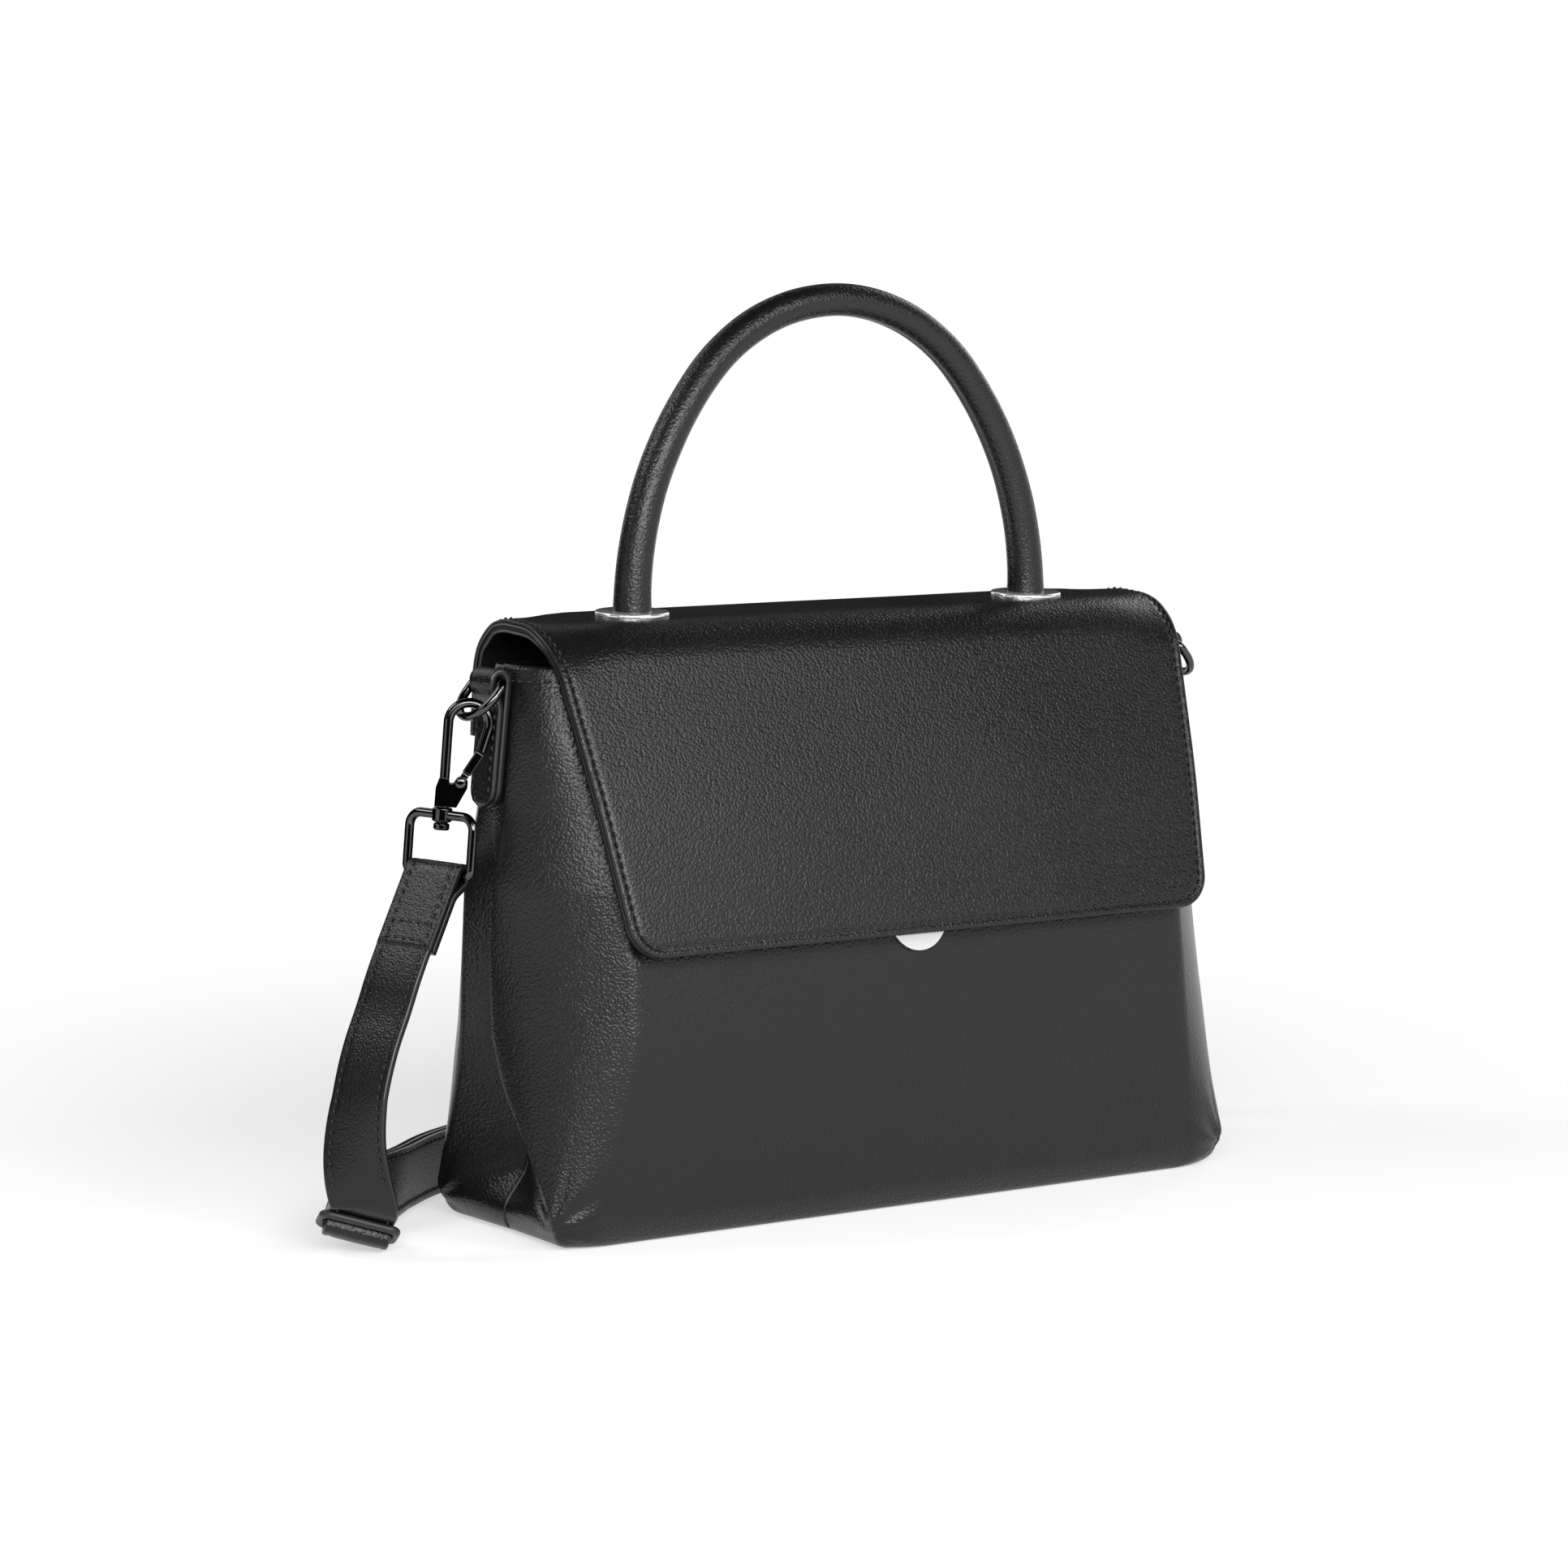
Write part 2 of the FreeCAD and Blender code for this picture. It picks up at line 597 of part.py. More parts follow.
def hang(side):
    """The lean of a hook and loop about the bottom of the ring that they hang on."""
    bottom = Vector(v.ring_depth * math.sin(tilt), 0, -v.ring_depth * math.cos(tilt))
    if side == LEFT:
        return turn(EY, -v.hang_lean, bottom)
    along = Vector(math.cos(tilt), 0, math.sin(tilt))
    centre = bottom * ((v.ring_depth - v.ring_radius) / v.ring_depth)
    return turn(along, v.hang_lean_right, centre)


tilt = math.radians(v.ring_tilt)
yaw = math.radians(v.hook_yaw)
stem_offset = v.hook_outer_radius - v.hook_bar / 2
eye = Vector(v.ring_depth * math.sin(tilt), 0, -v.ring_depth * math.cos(tilt) - v.hook_hang)
hook_inner = v.hook_outer_radius - v.hook_bar
block_foot = v.hook_block_top + v.hook_block_height
loop_top = block_foot + v.swivel_gap + v.barrel_height / 2
pivot = (v.hook_block_front - v.gate_pivot_inset, -v.hook_block_top - v.gate_pivot_depth)
gate_tip = (stem_offset, -v.hook_nose_drop - v.gate_clearance - v.gate_half_width)


def hook_frame(side):
    nose_turn = 180 - v.hook_yaw if side == LEFT else 180 + v.hook_yaw
    return SET_FRAMES[side].multiply(hang(side)).multiply(place(eye, Rotation(EZ, nose_turn)))


def loop_frame(side):
    """The strap loop's frame, on the stem's axis at the height of its top bar."""
    yaw_here = yaw if side == LEFT else -yaw
    stem = eye + Vector(math.cos(yaw_here), -math.sin(yaw_here), 0) * stem_offset - EZ * loop_top
    turned = Rotation(EZ, v.loop_yaw_left if side == LEFT else 0)
    return SET_FRAMES[side].multiply(hang(side)).multiply(place(stem, turned))


def ring_tab(side):
    tab = folded_strip("ring_tab_" + side, tab_inner, v.tab_leather, v.tab_length, v.tab_taper, "sizes.tab_width")
    strip = tab.Tip
    names = []
    for index, edge in enumerate(strip.Shape.Edges, start=1):
        middle = edge.CenterOfMass
        low = abs(middle.z + v.tab_length) < v.skin_gap
        if low and abs(abs(middle.y) - v.tab_width / 2) < v.skin_gap:
            names.append(f"Edge{index}")
    rounded = tab.newObject("PartDesign::Fillet", f"tab_{side}_end")
    rounded.Base = (strip, names)
    rounded.setExpression("Radius", "sizes.tab_end_corner")
    doc.recompute()
    tab.Placement = SET_FRAMES[side].multiply(turn(EY, -v.tab_lean))
    return tab


def closed_wire(label, sides, radius, start):
    """A ring of round wire along a closed path in the body's Y-Z plane."""
    body = new_body(label)
    spine = new_sketch(body, label + "_path", "YZ_Plane", sides)
    profile = new_sketch(body, label + "_wire", "XZ_Plane")
    add_circle(profile, radius, 0.0, start)
    pipe(profile, spine)
    return body


def d_ring(side):
    half, corner, centre = v.ring_radius, v.ring_corner, v.ring_radius - v.ring_depth
    slant = corner * math.sqrt(0.5)
    sides = [
        line((0, 0), (half - corner, 0)),
        arc((half - corner, 0), (half - corner + slant, slant - corner), (half, -corner)),
        line((half, -corner), (half, centre)),
        arc((half, centre), (0, -v.ring_depth), (-half, centre)),
        line((-half, centre), (-half, -corner)),
        arc((-half, -corner), (corner - half - slant, slant - corner), (corner - half, 0)),
        line((corner - half, 0), (0, 0)),
    ]
    ring = closed_wire("d_ring_" + side, sides, "sizes.ring_wire_radius", 0.0)
    ring.Placement = SET_FRAMES[side].multiply(turn(EY, -v.ring_tilt))
    return ring


def strap_loop(side):
    label = "strap_loop_" + side
    half, low, corner = v.loop_half_width, -v.loop_height, v.loop_corner
    slant = corner * (1 - math.sqrt(0.5))
    sides = [line((0, 0), (half - corner, 0))]
    sides.append(arc((half - corner, 0), (half - slant, -slant), (half, -corner)))
    sides.append(line((half, -corner), (half, low + corner)))
    sides.append(arc((half, low + corner), (half - slant, low + slant), (half - corner, low)))
    sides.append(line((half - corner, low), (corner - half, low)))
    sides.append(arc((corner - half, low), (slant - half, low + slant), (-half, low + corner)))
    sides.append(line((-half, low + corner), (-half, -corner)))
    sides.append(arc((-half, -corner), (slant - half, -slant), (corner - half, 0)))
    sides.append(line((corner - half, 0), (0, 0)))
    loop = closed_wire(label, sides, "sizes.loop_wire_radius", 0.0)
    barrel = new_sketch(loop, label + "_barrel", "XY_Plane")
    add_circle(barrel, "sizes.barrel_radius")
    pad(barrel, "sizes.barrel_height", symmetric=True)
    bore = new_sketch(loop, label + "_bore", "XY_Plane")
    add_circle(bore, "sizes.post_radius + sizes.post_clearance")
    pocket(bore, "2 * sizes.barrel_radius")
    loop.Placement = loop_frame(side)
    return loop


def hook_body(side):
    """Arch, spine, slotted base block and headed swivel post, in one piece."""
    label = "hook_body_" + side
    outer, inner = v.hook_outer_radius, hook_inner
    nose, back, front = -v.hook_nose_drop, -v.hook_block_back, v.hook_block_front
    outline = [
        line((-outer, -v.hook_block_top), (-outer, 0)),
        arc((-outer, 0), (0, outer), (outer, 0)),
        line((outer, 0), (outer, nose)),
        line((outer, nose), (inner, nose)),
        line((inner, nose), (inner, 0)),
        arc((inner, 0), (0, inner), (-inner, 0)),
        line((-inner, 0), (-inner, -v.hook_block_top)),
        line((-inner, -v.hook_block_top), (-outer, -v.hook_block_top)),
    ]
    hook = new_body(label)
    pad(new_sketch(hook, label + "_arch", "XZ_Plane", outline), "sizes.hook_thickness", symmetric=True)
    block = closed_lines([(back, -block_foot), (front, -block_foot), (front, -v.hook_block_top),
                          (back, -v.hook_block_top)])
    pad(new_sketch(hook, label + "_block", "XZ_Plane", block), "sizes.hook_block_thickness", symmetric=True)
    slot_left, slot_floor = -inner + v.gate_clearance, pivot[1] - 2 * v.gate_half_width
    slot = closed_lines([(slot_left, slot_floor), (front + v.cut_overrun, slot_floor),
                         (front + v.cut_overrun, -v.hook_block_top), (slot_left, -v.hook_block_top)])
    pocket(new_sketch(hook, label + "_slot", "XZ_Plane", slot), "sizes.gate_slot")
    hole = new_sketch(hook, label + "_pin_hole", "XZ_Plane")
    add_circle(hole, "sizes.gate_pin_radius", *pivot)
    pocket(hole)
    post = new_sketch(hook, label + "_post", "XY_Plane", offset=place(Vector(0, 0, -block_foot)))
    add_circle(post, "sizes.post_radius", -stem_offset)
    pad(post, "sizes.barrel_height + 2 * sizes.swivel_gap", reversed_way=True)
    head_top = block_foot + v.barrel_height + 2 * v.swivel_gap
    head = new_sketch(hook, label + "_head", "XY_Plane", offset=place(Vector(0, 0, -head_top)))
    add_circle(head, "sizes.post_head_radius", -stem_offset)
    pad(head, "sizes.post_head_height", reversed_way=True)
    hook.Placement = hook_frame(side)
    return hook


def hook_gate(side):
    """A lever with round ends, from its pivot in the block up to the hook's nose."""
    label = "hook_gate_" + side
    start, end = Vector(*pivot, 0), Vector(*gate_tip, 0)
    along = (end - start).normalize()
    across = Vector(-along.y, along.x, 0) * v.gate_half_width
    cap = along * v.gate_half_width
    outline = [
        Part.LineSegment(start + across, end + across),
        Part.Arc(end + across, end + cap, end - across),
        Part.LineSegment(end - across, start - across),
        Part.Arc(start - across, start - cap, start + across),
    ]
    gate = new_body(label)
    profile = new_sketch(gate, label + "_profile", "XZ_Plane", outline)
    add_circle(profile, "sizes.gate_pin_radius + sizes.gate_pin_clearance", *pivot)
    pad(profile, "sizes.gate_thickness", symmetric=True)
    gate.Placement = hook_frame(side)
    return gate


def pin_part(label, side, outer, thickness, shift, hole=None):
    """A round piece on the gate's pivot, centred across the hook and shifted along the pin."""
    body = new_body(f"{label}_{side}")
    sketch = new_sketch(body, f"{label}_{side}_round", "XZ_Plane")
    add_circle(sketch, outer, *pivot)
    if hole:
        add_circle(sketch, hole, *pivot)
    pad(sketch, thickness, symmetric=True)
    body.Placement = hook_frame(side).multiply(place(Vector(0, shift, 0)))
    return body


for side in (LEFT, RIGHT):
    nodes.append(ring_tab(side))
    nodes.append(d_ring(side))
    nodes.append(strap_loop(side))
    nodes.append(hook_body(side))
    nodes.append(hook_gate(side))
    nodes.append(pin_part("gate_pin", side, "sizes.gate_pin_radius", "sizes.hook_block_thickness", 0))
    nodes.append(pin_part("gate_spring", side, "sizes.gate_spring_radius", "sizes.gate_spring_width",
                          (v.gate_slot + v.gate_thickness) / 4,
                          "sizes.gate_pin_radius + sizes.gate_pin_clearance"))

# Strap, from the left loop through the slide, round behind the bag and over the right loop's bar

fold_inner = v.loop_wire_radius + v.strap_gap
fold_middle = fold_inner + v.strap_leather / 2
layer_step = v.strap_leather + v.strap_gap
lower_bar = place(Vector(0, 0, -v.loop_height))
left_bar = loop_frame(LEFT).multiply(lower_bar).multiply(place(Vector(), Rotation(EZ, 180)))
left_end = left_bar.multiply(turn(EY, v.strap_lean))
strap_end = folded_strip("strap_end_left", fold_inner, v.strap_leather, v.strap_sewn_length, v.strap_taper,
                         "sizes.strap_width")
strap_end.Placement = left_end
nodes.append(strap_end)

right_bar = loop_frame(RIGHT).multiply(lower_bar)
outer, near = fold_inner + v.strap_leather, v.strap_gap / 2
far = near + v.strap_leather
turn_outline = [
    line((-far, -v.strap_turn_length), (-outer, 0)),
    arc((-outer, 0), (0, outer), (outer, 0)),
    line((outer, 0), (far, -v.strap_turn_length)),
    line((far, -v.strap_turn_length), (near, -v.strap_turn_length)),
    line((near, -v.strap_turn_length), (fold_inner, 0)),
    arc((fold_inner, 0), (0, fold_inner), (-fold_inner, 0)),
    line((-fold_inner, 0), (-near, -v.strap_turn_length)),
    line((-near, -v.strap_turn_length), (-far, -v.strap_turn_length)),
]
strap_turn = new_body("strap_turn_right")
pad(new_sketch(strap_turn, "turn_profile", "XZ_Plane", turn_outline), "sizes.strap_width", symmetric=True)
strap_turn.Placement = right_bar
nodes.append(strap_turn)

# The slide's place on the strap: its middle, the way along its bars and the way that the strap runs

SLIDE_MIDDLE = Vector(-191.9, -0.1, 8.8)
slide_bars = Vector(0.85, -0.45, -0.27).normalize()
slide_way = Vector(0.319, 0.852, -0.416)
slide_way = (slide_way - slide_bars * slide_way.dot(slide_bars)).normalize()
slide_out = slide_way.cross(slide_bars)
slide_frame = frame(SLIDE_MIDDLE, slide_bars, slide_out)

slider = new_body("strap_slider")
slide_half = 1.5 * v.slide_bar + v.slide_slot
slot_middle = (v.slide_bar + v.slide_slot) / 2
outline = closed_lines(rectangle(v.slide_length / 2, slide_half))
for centre in (-slot_middle, slot_middle):
    outline += closed_lines(rectangle(v.slide_slot_length / 2, v.slide_slot / 2, centre))
pad(new_sketch(slider, "slide_outline", "XY_Plane", outline), "sizes.slide_thickness", symmetric=True)
slider.Placement = slide_frame
nodes.append(slider)


def on_slide(along, out):
    """A point beside the slide: along the strap's way, and out from the slide's middle."""
    return SLIDE_MIDDLE + slide_way * along + slide_out * out


pass_height = (v.slide_thickness + v.strap_leather) / 2 + v.strap_gap
BEND_SHARE = 0.45
SLIDE_BEND_SHARE = 0.36


def rounded_route(points, widths, share):
    """Sections along a route of straight runs and tangent arcs: place, way and width direction."""
    sections = [(points[0], (points[1] - points[0]).normalize(), widths[0])]
    for index in range(1, len(points) - 1):
        before, corner, after = points[index - 1:index + 2]
        back, on = (before - corner), (after - corner)
        reach = share * min(back.Length, on.Length)
        start, end = corner + back.normalize() * reach, corner + on.normalize() * reach
        half = back.getAngle(on) / 2
        radius = reach * math.tan(half)
        centre = corner + (back + on).normalize() * (radius / math.sin(half))
        middle = centre + (corner - centre).normalize() * radius
        way_in, way_out = -back, on
        before_width = lerp(widths[index], widths[index - 1], share)
        after_width = lerp(widths[index], widths[index + 1], share)
        sections.append((start, way_in, before_width))
        sections.append((middle, (way_in + way_out).normalize(), widths[index]))
        sections.append((end, way_out, after_width))
        bend_radii.append(radius)
    sections.append((points[-1], (points[-1] - points[-2]).normalize(), widths[-1]))
    return sections


def ribbon(label, points, widths, shift=0.0, share=BEND_SHARE):
    """A flat strap through a route, moved off it along its own face by a shift."""
    wires = []
    middles = []
    for point, way, width in rounded_route(points, widths, share):
        across = (width - way * width.dot(way)).normalize()
        face = way.cross(across)
        half, thick = across * (v.strap_width / 2), face * (v.strap_leather / 2)
        middle = point + face * shift
        corners = [middle + half + thick, middle - half + thick, middle - half - thick, middle + half - thick]
        wires.append(Part.makePolygon(corners + corners[:1]))
        middles.append(middle)
    node = solid_node(label, Part.makeLoft(wires, True, True))
    length = sum((b - a).Length for a, b in zip(middles, middles[1:]))
    share_of_prism = node.Shape.Volume / (length * v.strap_width * v.strap_leather)
    print(f"{label}: length {length:.1f} mm, volume over section times length {share_of_prism:.3f}")
    return node


bend_radii = []
slide_reach = slide_half + v.slide_lead
bar_width = left_end.Rotation.multVec(EY)
slide_width = -slide_bars
drop_points = [
    left_end.multVec(Vector(-fold_middle, 0, -v.strap_sewn_length)),
    left_end.multVec(Vector(-fold_middle, 0, -v.strap_sewn_length - v.strap_taper)),
    Vector(-184.0, -4.6, 80.5),
    Vector(-190.3, -6.5, 68.5),
    Vector(-195.6, -8.5, 53.1),
    Vector(-198.4, -9.8, 38.0),
    Vector(-198.2, -11.6, 26.0),
    on_slide(-slide_reach, -pass_height),
    on_slide(-slide_half, -pass_height),
]
TWIST_SHARES = [0, 0, 0, 0, 0, 0.3, 0.7, 1, 1]
drop_widths = [lerp(bar_width, slide_width, share) for share in TWIST_SHARES]
nodes.append(ribbon("strap_drop", drop_points, drop_widths))

# Through the slide: behind the first bar, out over the middle one and back behind the last

pass_points = [
    on_slide(-slide_half, -pass_height),
    on_slide(-slot_middle, -pass_height),
    on_slide(-slot_middle, pass_height),
    on_slide(slot_middle, pass_height),
    on_slide(slot_middle, -pass_height),
    on_slide(slide_half, -pass_height),
]
nodes.append(ribbon("strap_pass", pass_points, [slide_width] * len(pass_points), share=SLIDE_BEND_SHARE))
anchor_height = pass_height + layer_step
anchor_points = [
    on_slide(slide_half, -anchor_height),
    on_slide(0, -anchor_height),
    on_slide(0, -v.slide_thickness / 2 - v.strap_gap),
]
nodes.append(ribbon("strap_anchor", anchor_points, [slide_width] * len(anchor_points), share=SLIDE_BEND_SHARE))

# Two layers side by side: along the floor behind the bag, and up to the right loop's bar

back_points = [
    on_slide(slide_half, -(pass_height + anchor_height) / 2),
    on_slide(slide_reach, -(pass_height + anchor_height) / 2),
    Vector(-178, 22.5, 10.5),
    Vector(-166.5, 32, 12.5),
    Vector(-150, 45.5, 13),
    Vector(-128, 65, 12.6),
    Vector(-100, 80.5, 12),
    Vector(-64, 91.5, 12),
    Vector(-22, 95.5, 12),
    Vector(21, 94.5, 12.4),
    Vector(62, 90, 14),
    lerp(Vector(62, 90, 14), Vector(112, 78.5, 27), BEND_SHARE),
]
BACK_TWIST_SHARES = [0, 0, 0.35, 0.7] + [1] * (len(back_points) - 4)
back_widths = [lerp(slide_width, EZ, share) for share in BACK_TWIST_SHARES]
rise_top = right_bar.multVec(Vector(0, 0, -v.strap_turn_length))
rise_way = right_bar.Rotation.multVec(EZ)
right_width = right_bar.Rotation.multVec(EY)
rise_points = [
    back_points[-1],
    Vector(112, 78.5, 27),
    Vector(135, 66, 48),
    Vector(147, 55, 72),
    rise_top - rise_way * v.strap_width,
    rise_top,
]
RISE_TWIST_SHARES = [0, 0.1, 0.35, 0.7, 1, 1]
rise_widths = [lerp(EZ, right_width, share) for share in RISE_TWIST_SHARES]
for layer, shift in (("outer", -layer_step / 2), ("inner", layer_step / 2)):
    nodes.append(ribbon("strap_back_" + layer, back_points, back_widths, shift))
    nodes.append(ribbon("strap_rise_" + layer, rise_points, rise_widths, shift))
print("Strap bend radii, mm:", [round(radius, 1) for radius in bend_radii])

# Where the moving pieces turn

for side in (LEFT, RIGHT):
    stem = loop_frame(side)
    gate_axis = hook_frame(side)
    print(side, "ring bar", SET_FRAMES[side].Base)
    print(side, "stem", stem.Base, stem.Rotation.multVec(EZ))
    print(side, "gate", gate_axis.multVec(Vector(pivot[0], 0, pivot[1])), gate_axis.Rotation.multVec(EY))
print("flap hinge", hinge)

# Check every object, then write the pieces

doc.recompute()
for item in doc.Objects:
    if "Invalid" in item.State or "Error" in item.State:
        raise RuntimeError(f"{item.Name} failed: {item.State}")
for node in nodes:
    if node.Shape.isNull() or not node.Shape.isValid() or not node.Shape.Solids:
        raise RuntimeError(f"{node.Label} has no valid solid")
os.makedirs("parts", exist_ok=True)
for node in nodes:
    node.Shape.exportStep(f"parts/{node.Label}.step")
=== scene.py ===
import math

import bmesh
import bpy
import numpy as np
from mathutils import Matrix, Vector, noise
from mathutils.geometry import intersect_point_line


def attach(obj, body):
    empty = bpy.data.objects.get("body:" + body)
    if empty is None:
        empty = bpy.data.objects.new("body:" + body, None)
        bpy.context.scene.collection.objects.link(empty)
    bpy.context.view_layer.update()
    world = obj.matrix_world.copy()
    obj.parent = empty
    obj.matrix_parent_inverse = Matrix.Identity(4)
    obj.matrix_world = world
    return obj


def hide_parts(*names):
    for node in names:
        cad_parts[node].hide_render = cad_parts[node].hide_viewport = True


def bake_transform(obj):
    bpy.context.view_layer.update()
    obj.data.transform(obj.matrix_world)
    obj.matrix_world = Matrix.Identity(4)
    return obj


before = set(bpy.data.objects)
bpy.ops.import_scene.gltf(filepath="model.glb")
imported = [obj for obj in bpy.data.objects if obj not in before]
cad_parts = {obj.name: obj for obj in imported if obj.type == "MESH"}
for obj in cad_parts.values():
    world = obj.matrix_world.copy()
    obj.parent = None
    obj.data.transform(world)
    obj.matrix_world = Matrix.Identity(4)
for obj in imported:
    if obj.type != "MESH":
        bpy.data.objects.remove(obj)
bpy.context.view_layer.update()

# A black leather bag with a flap, a rigid top handle and a clip-on shoulder strap.
# Frame: X to the bag's right, Y to its back, Z up, in metres, origin on the floor under its middle.

MM = 0.001
EX, EY, EZ = Vector((1, 0, 0)), Vector((0, 1, 0)), Vector((0, 0, 1))
scene = bpy.context.scene


def vec(x, y, z):
    """A point given in millimetres."""
    return Vector((x, y, z)) * MM


def lerp(first, second, share):
    return first + (second - first) * share


# Materials


def new_material(name, colour, roughness, metallic=0.0):
    material = bpy.data.materials.new(name)
    material.use_nodes = True
    shader = material.node_tree.nodes["Principled BSDF"]
    shader.inputs["Base Color"].default_value = (*colour, 1)
    shader.inputs["Roughness"].default_value = roughness
    shader.inputs["Metallic"].default_value = metallic
    return material, shader


def add_node(material, kind, **inputs):
    node = material.node_tree.nodes.new(kind)
    for key, value in inputs.items():
        node.inputs[key.replace("_", " ")].default_value = value
    return node


def connect(material, start, end):
    material.node_tree.links.new(start, end)


def surface_place(material):
    return add_node(material, "ShaderNodeTexCoord").outputs["Object"]


def ranged(material, value, low, high):
    """A texture's value, mapped from 0 to 1 onto a range."""
    node = add_node(material, "ShaderNodeMapRange", To_Min=low, To_Max=high)
    connect(material, value, node.inputs["Value"])
    return node.outputs["Result"]


FINE_DETAIL, CLOUD_DETAIL, GRAIN_DETAIL = 2.0, 3.0, 4.0


def speckle(material, place, scale, detail=FINE_DETAIL):
    node = add_node(material, "ShaderNodeTexNoise", Scale=scale, Detail=detail)
    connect(material, place, node.inputs["Vector"])
    return node.outputs["Fac"]


# Places of a colour mix's two colours among its inputs, and of its result among its outputs
LOW_SOCKET, HIGH_SOCKET, RESULT_SOCKET = 6, 7, 2


def mixed(material, fac, low, high):
    """Two colours mixed by a texture."""
    node = material.node_tree.nodes.new("ShaderNodeMix")
    node.data_type = "RGBA"
    node.inputs[LOW_SOCKET].default_value = (*low, 1)
    node.inputs[HIGH_SOCKET].default_value = (*high, 1)
    connect(material, fac, node.inputs[0])
    return node.outputs[RESULT_SOCKET]


def coloured(material, shader, fac, low, high):
    connect(material, mixed(material, fac, low, high), shader.inputs["Base Color"])


def roughened(material, shader, fac, low, high):
    connect(material, ranged(material, fac, low, high), shader.inputs["Roughness"])


def bumped(material, shader, height, strength, distance, under=None):
    node = add_node(material, "ShaderNodeBump", Strength=strength, Distance=distance)
    connect(material, height, node.inputs["Height"])
    if under:
        connect(material, under, node.inputs["Normal"])
    connect(material, node.outputs["Normal"], shader.inputs["Normal"])
    return node.outputs["Normal"]


LEATHER_GLOSS, LEATHER_CLOUD, SHEEN_SPREAD = 0.38, 22.0, 0.07
WANDER_SHARE, WARP_SHARE, FINE_SHARE, FINE_STRENGTH_SHARE = 0.7, 0.45, 2.5, 0.2
GRAIN_DEPTH, PEBBLE_DEPTH, BOARD_GRAIN_DEPTH, WEAVE_DEPTH = 0.1 * MM, 0.2 * MM, 0.2 * MM, 0.2 * MM
MARK_SCALE, MARK_STRENGTH, MARK_DEPTH, POLISH_SHARE = 900.0, 0.04, 0.02 * MM, 0.3
PLAIN_CLOUD, PLAIN_SPREAD = 30.0, 0.08
WEAVE_PITCH, BANDS_IN_UNIT, WEAVE_WARP, WEAVE_STRENGTH = 0.5 * MM, 20.0, 0.3, 0.5
CLOTH_CLOUD, CLOTH_SHEEN = 40.0, 0.25


def leather(name, colour, light, roughness, pebble, strength):
    """Fine pebbled leather: cells with soft creases between them, and a slow change of sheen."""
    material, shader = new_material(name, colour, roughness)
    shader.inputs["Specular IOR Level"].default_value = LEATHER_GLOSS
    place = surface_place(material)
    warp = add_node(material, "ShaderNodeVectorMath")
    warp.operation = "MULTIPLY_ADD"
    wander = add_node(material, "ShaderNodeTexNoise", Scale=pebble * WANDER_SHARE, Detail=FINE_DETAIL)
    connect(material, place, wander.inputs["Vector"])
    connect(material, wander.outputs["Color"], warp.inputs[0])
    warp.inputs[1].default_value = (WARP_SHARE / pebble,) * 3
    connect(material, place, warp.inputs[2])
    cells = add_node(material, "ShaderNodeTexVoronoi", Scale=pebble)
    cells.feature = "SMOOTH_F1"
    connect(material, warp.outputs["Vector"], cells.inputs["Vector"])
    broad = speckle(material, place, LEATHER_CLOUD, CLOUD_DETAIL)
    fine = speckle(material, place, pebble * FINE_SHARE)
    coloured(material, shader, broad, colour, light)
    roughened(material, shader, broad, roughness - SHEEN_SPREAD, roughness + SHEEN_SPREAD)
    under = bumped(material, shader, fine, FINE_STRENGTH_SHARE * strength, GRAIN_DEPTH)
    pebbles = ranged(material, cells.outputs["Distance"], 1.0, 0.0)
    bumped(material, shader, pebbles, strength, PEBBLE_DEPTH, under)
    return material


def metal(name, colour, light, roughness, scale, metallic=1.0):
    """Polished plated metal with a faint cloudiness and fine handling marks."""
    material, shader = new_material(name, colour, roughness, metallic)
    place = surface_place(material)
    cloud = speckle(material, place, scale, CLOUD_DETAIL)
    marks = speckle(material, place, MARK_SCALE, GRAIN_DETAIL)
    coloured(material, shader, cloud, colour, light)
    roughened(material, shader, cloud, roughness * (1 - POLISH_SHARE), roughness * (1 + POLISH_SHARE))
    bumped(material, shader, marks, MARK_STRENGTH, MARK_DEPTH)
    return material


def plain(name, colour, light, roughness, scale, strength, depth=GRAIN_DEPTH):
    """A matt surface with a fine even grain: paint, thread, moulded plastic or pressed board."""
    material, shader = new_material(name, colour, roughness)
    place = surface_place(material)
    grain = speckle(material, place, scale, GRAIN_DETAIL)
    broad = speckle(material, place, PLAIN_CLOUD)
    coloured(material, shader, broad, colour, light)
    roughened(material, shader, grain, roughness - PLAIN_SPREAD, roughness + PLAIN_SPREAD)
    bumped(material, shader, grain, strength, depth)
    return material


def cloth(name, colour, light, roughness, pitch):
    """A plain weave: two crossed sets of threads that go over and under each other."""
    material, shader = new_material(name, colour, roughness)
    shader.inputs["Sheen Weight"].default_value = CLOTH_SHEEN
    place = surface_place(material)
    waves = []
    for direction in ("X", "Z"):
        scale = 1.0 / (pitch * BANDS_IN_UNIT)
        wave = add_node(material, "ShaderNodeTexWave", Scale=scale, Distortion=WEAVE_WARP)
        wave.bands_direction = direction
        connect(material, place, wave.inputs["Vector"])
        waves.append(wave.outputs["Fac"])
    weave = add_node(material, "ShaderNodeMath")
    weave.operation = "MULTIPLY"
    connect(material, waves[0], weave.inputs[0])
    connect(material, waves[1], weave.inputs[1])
    broad = speckle(material, place, CLOTH_CLOUD, CLOUD_DETAIL)
    coloured(material, shader, broad, colour, light)
    bumped(material, shader, weave.outputs["Value"], WEAVE_STRENGTH, WEAVE_DEPTH)
    return material


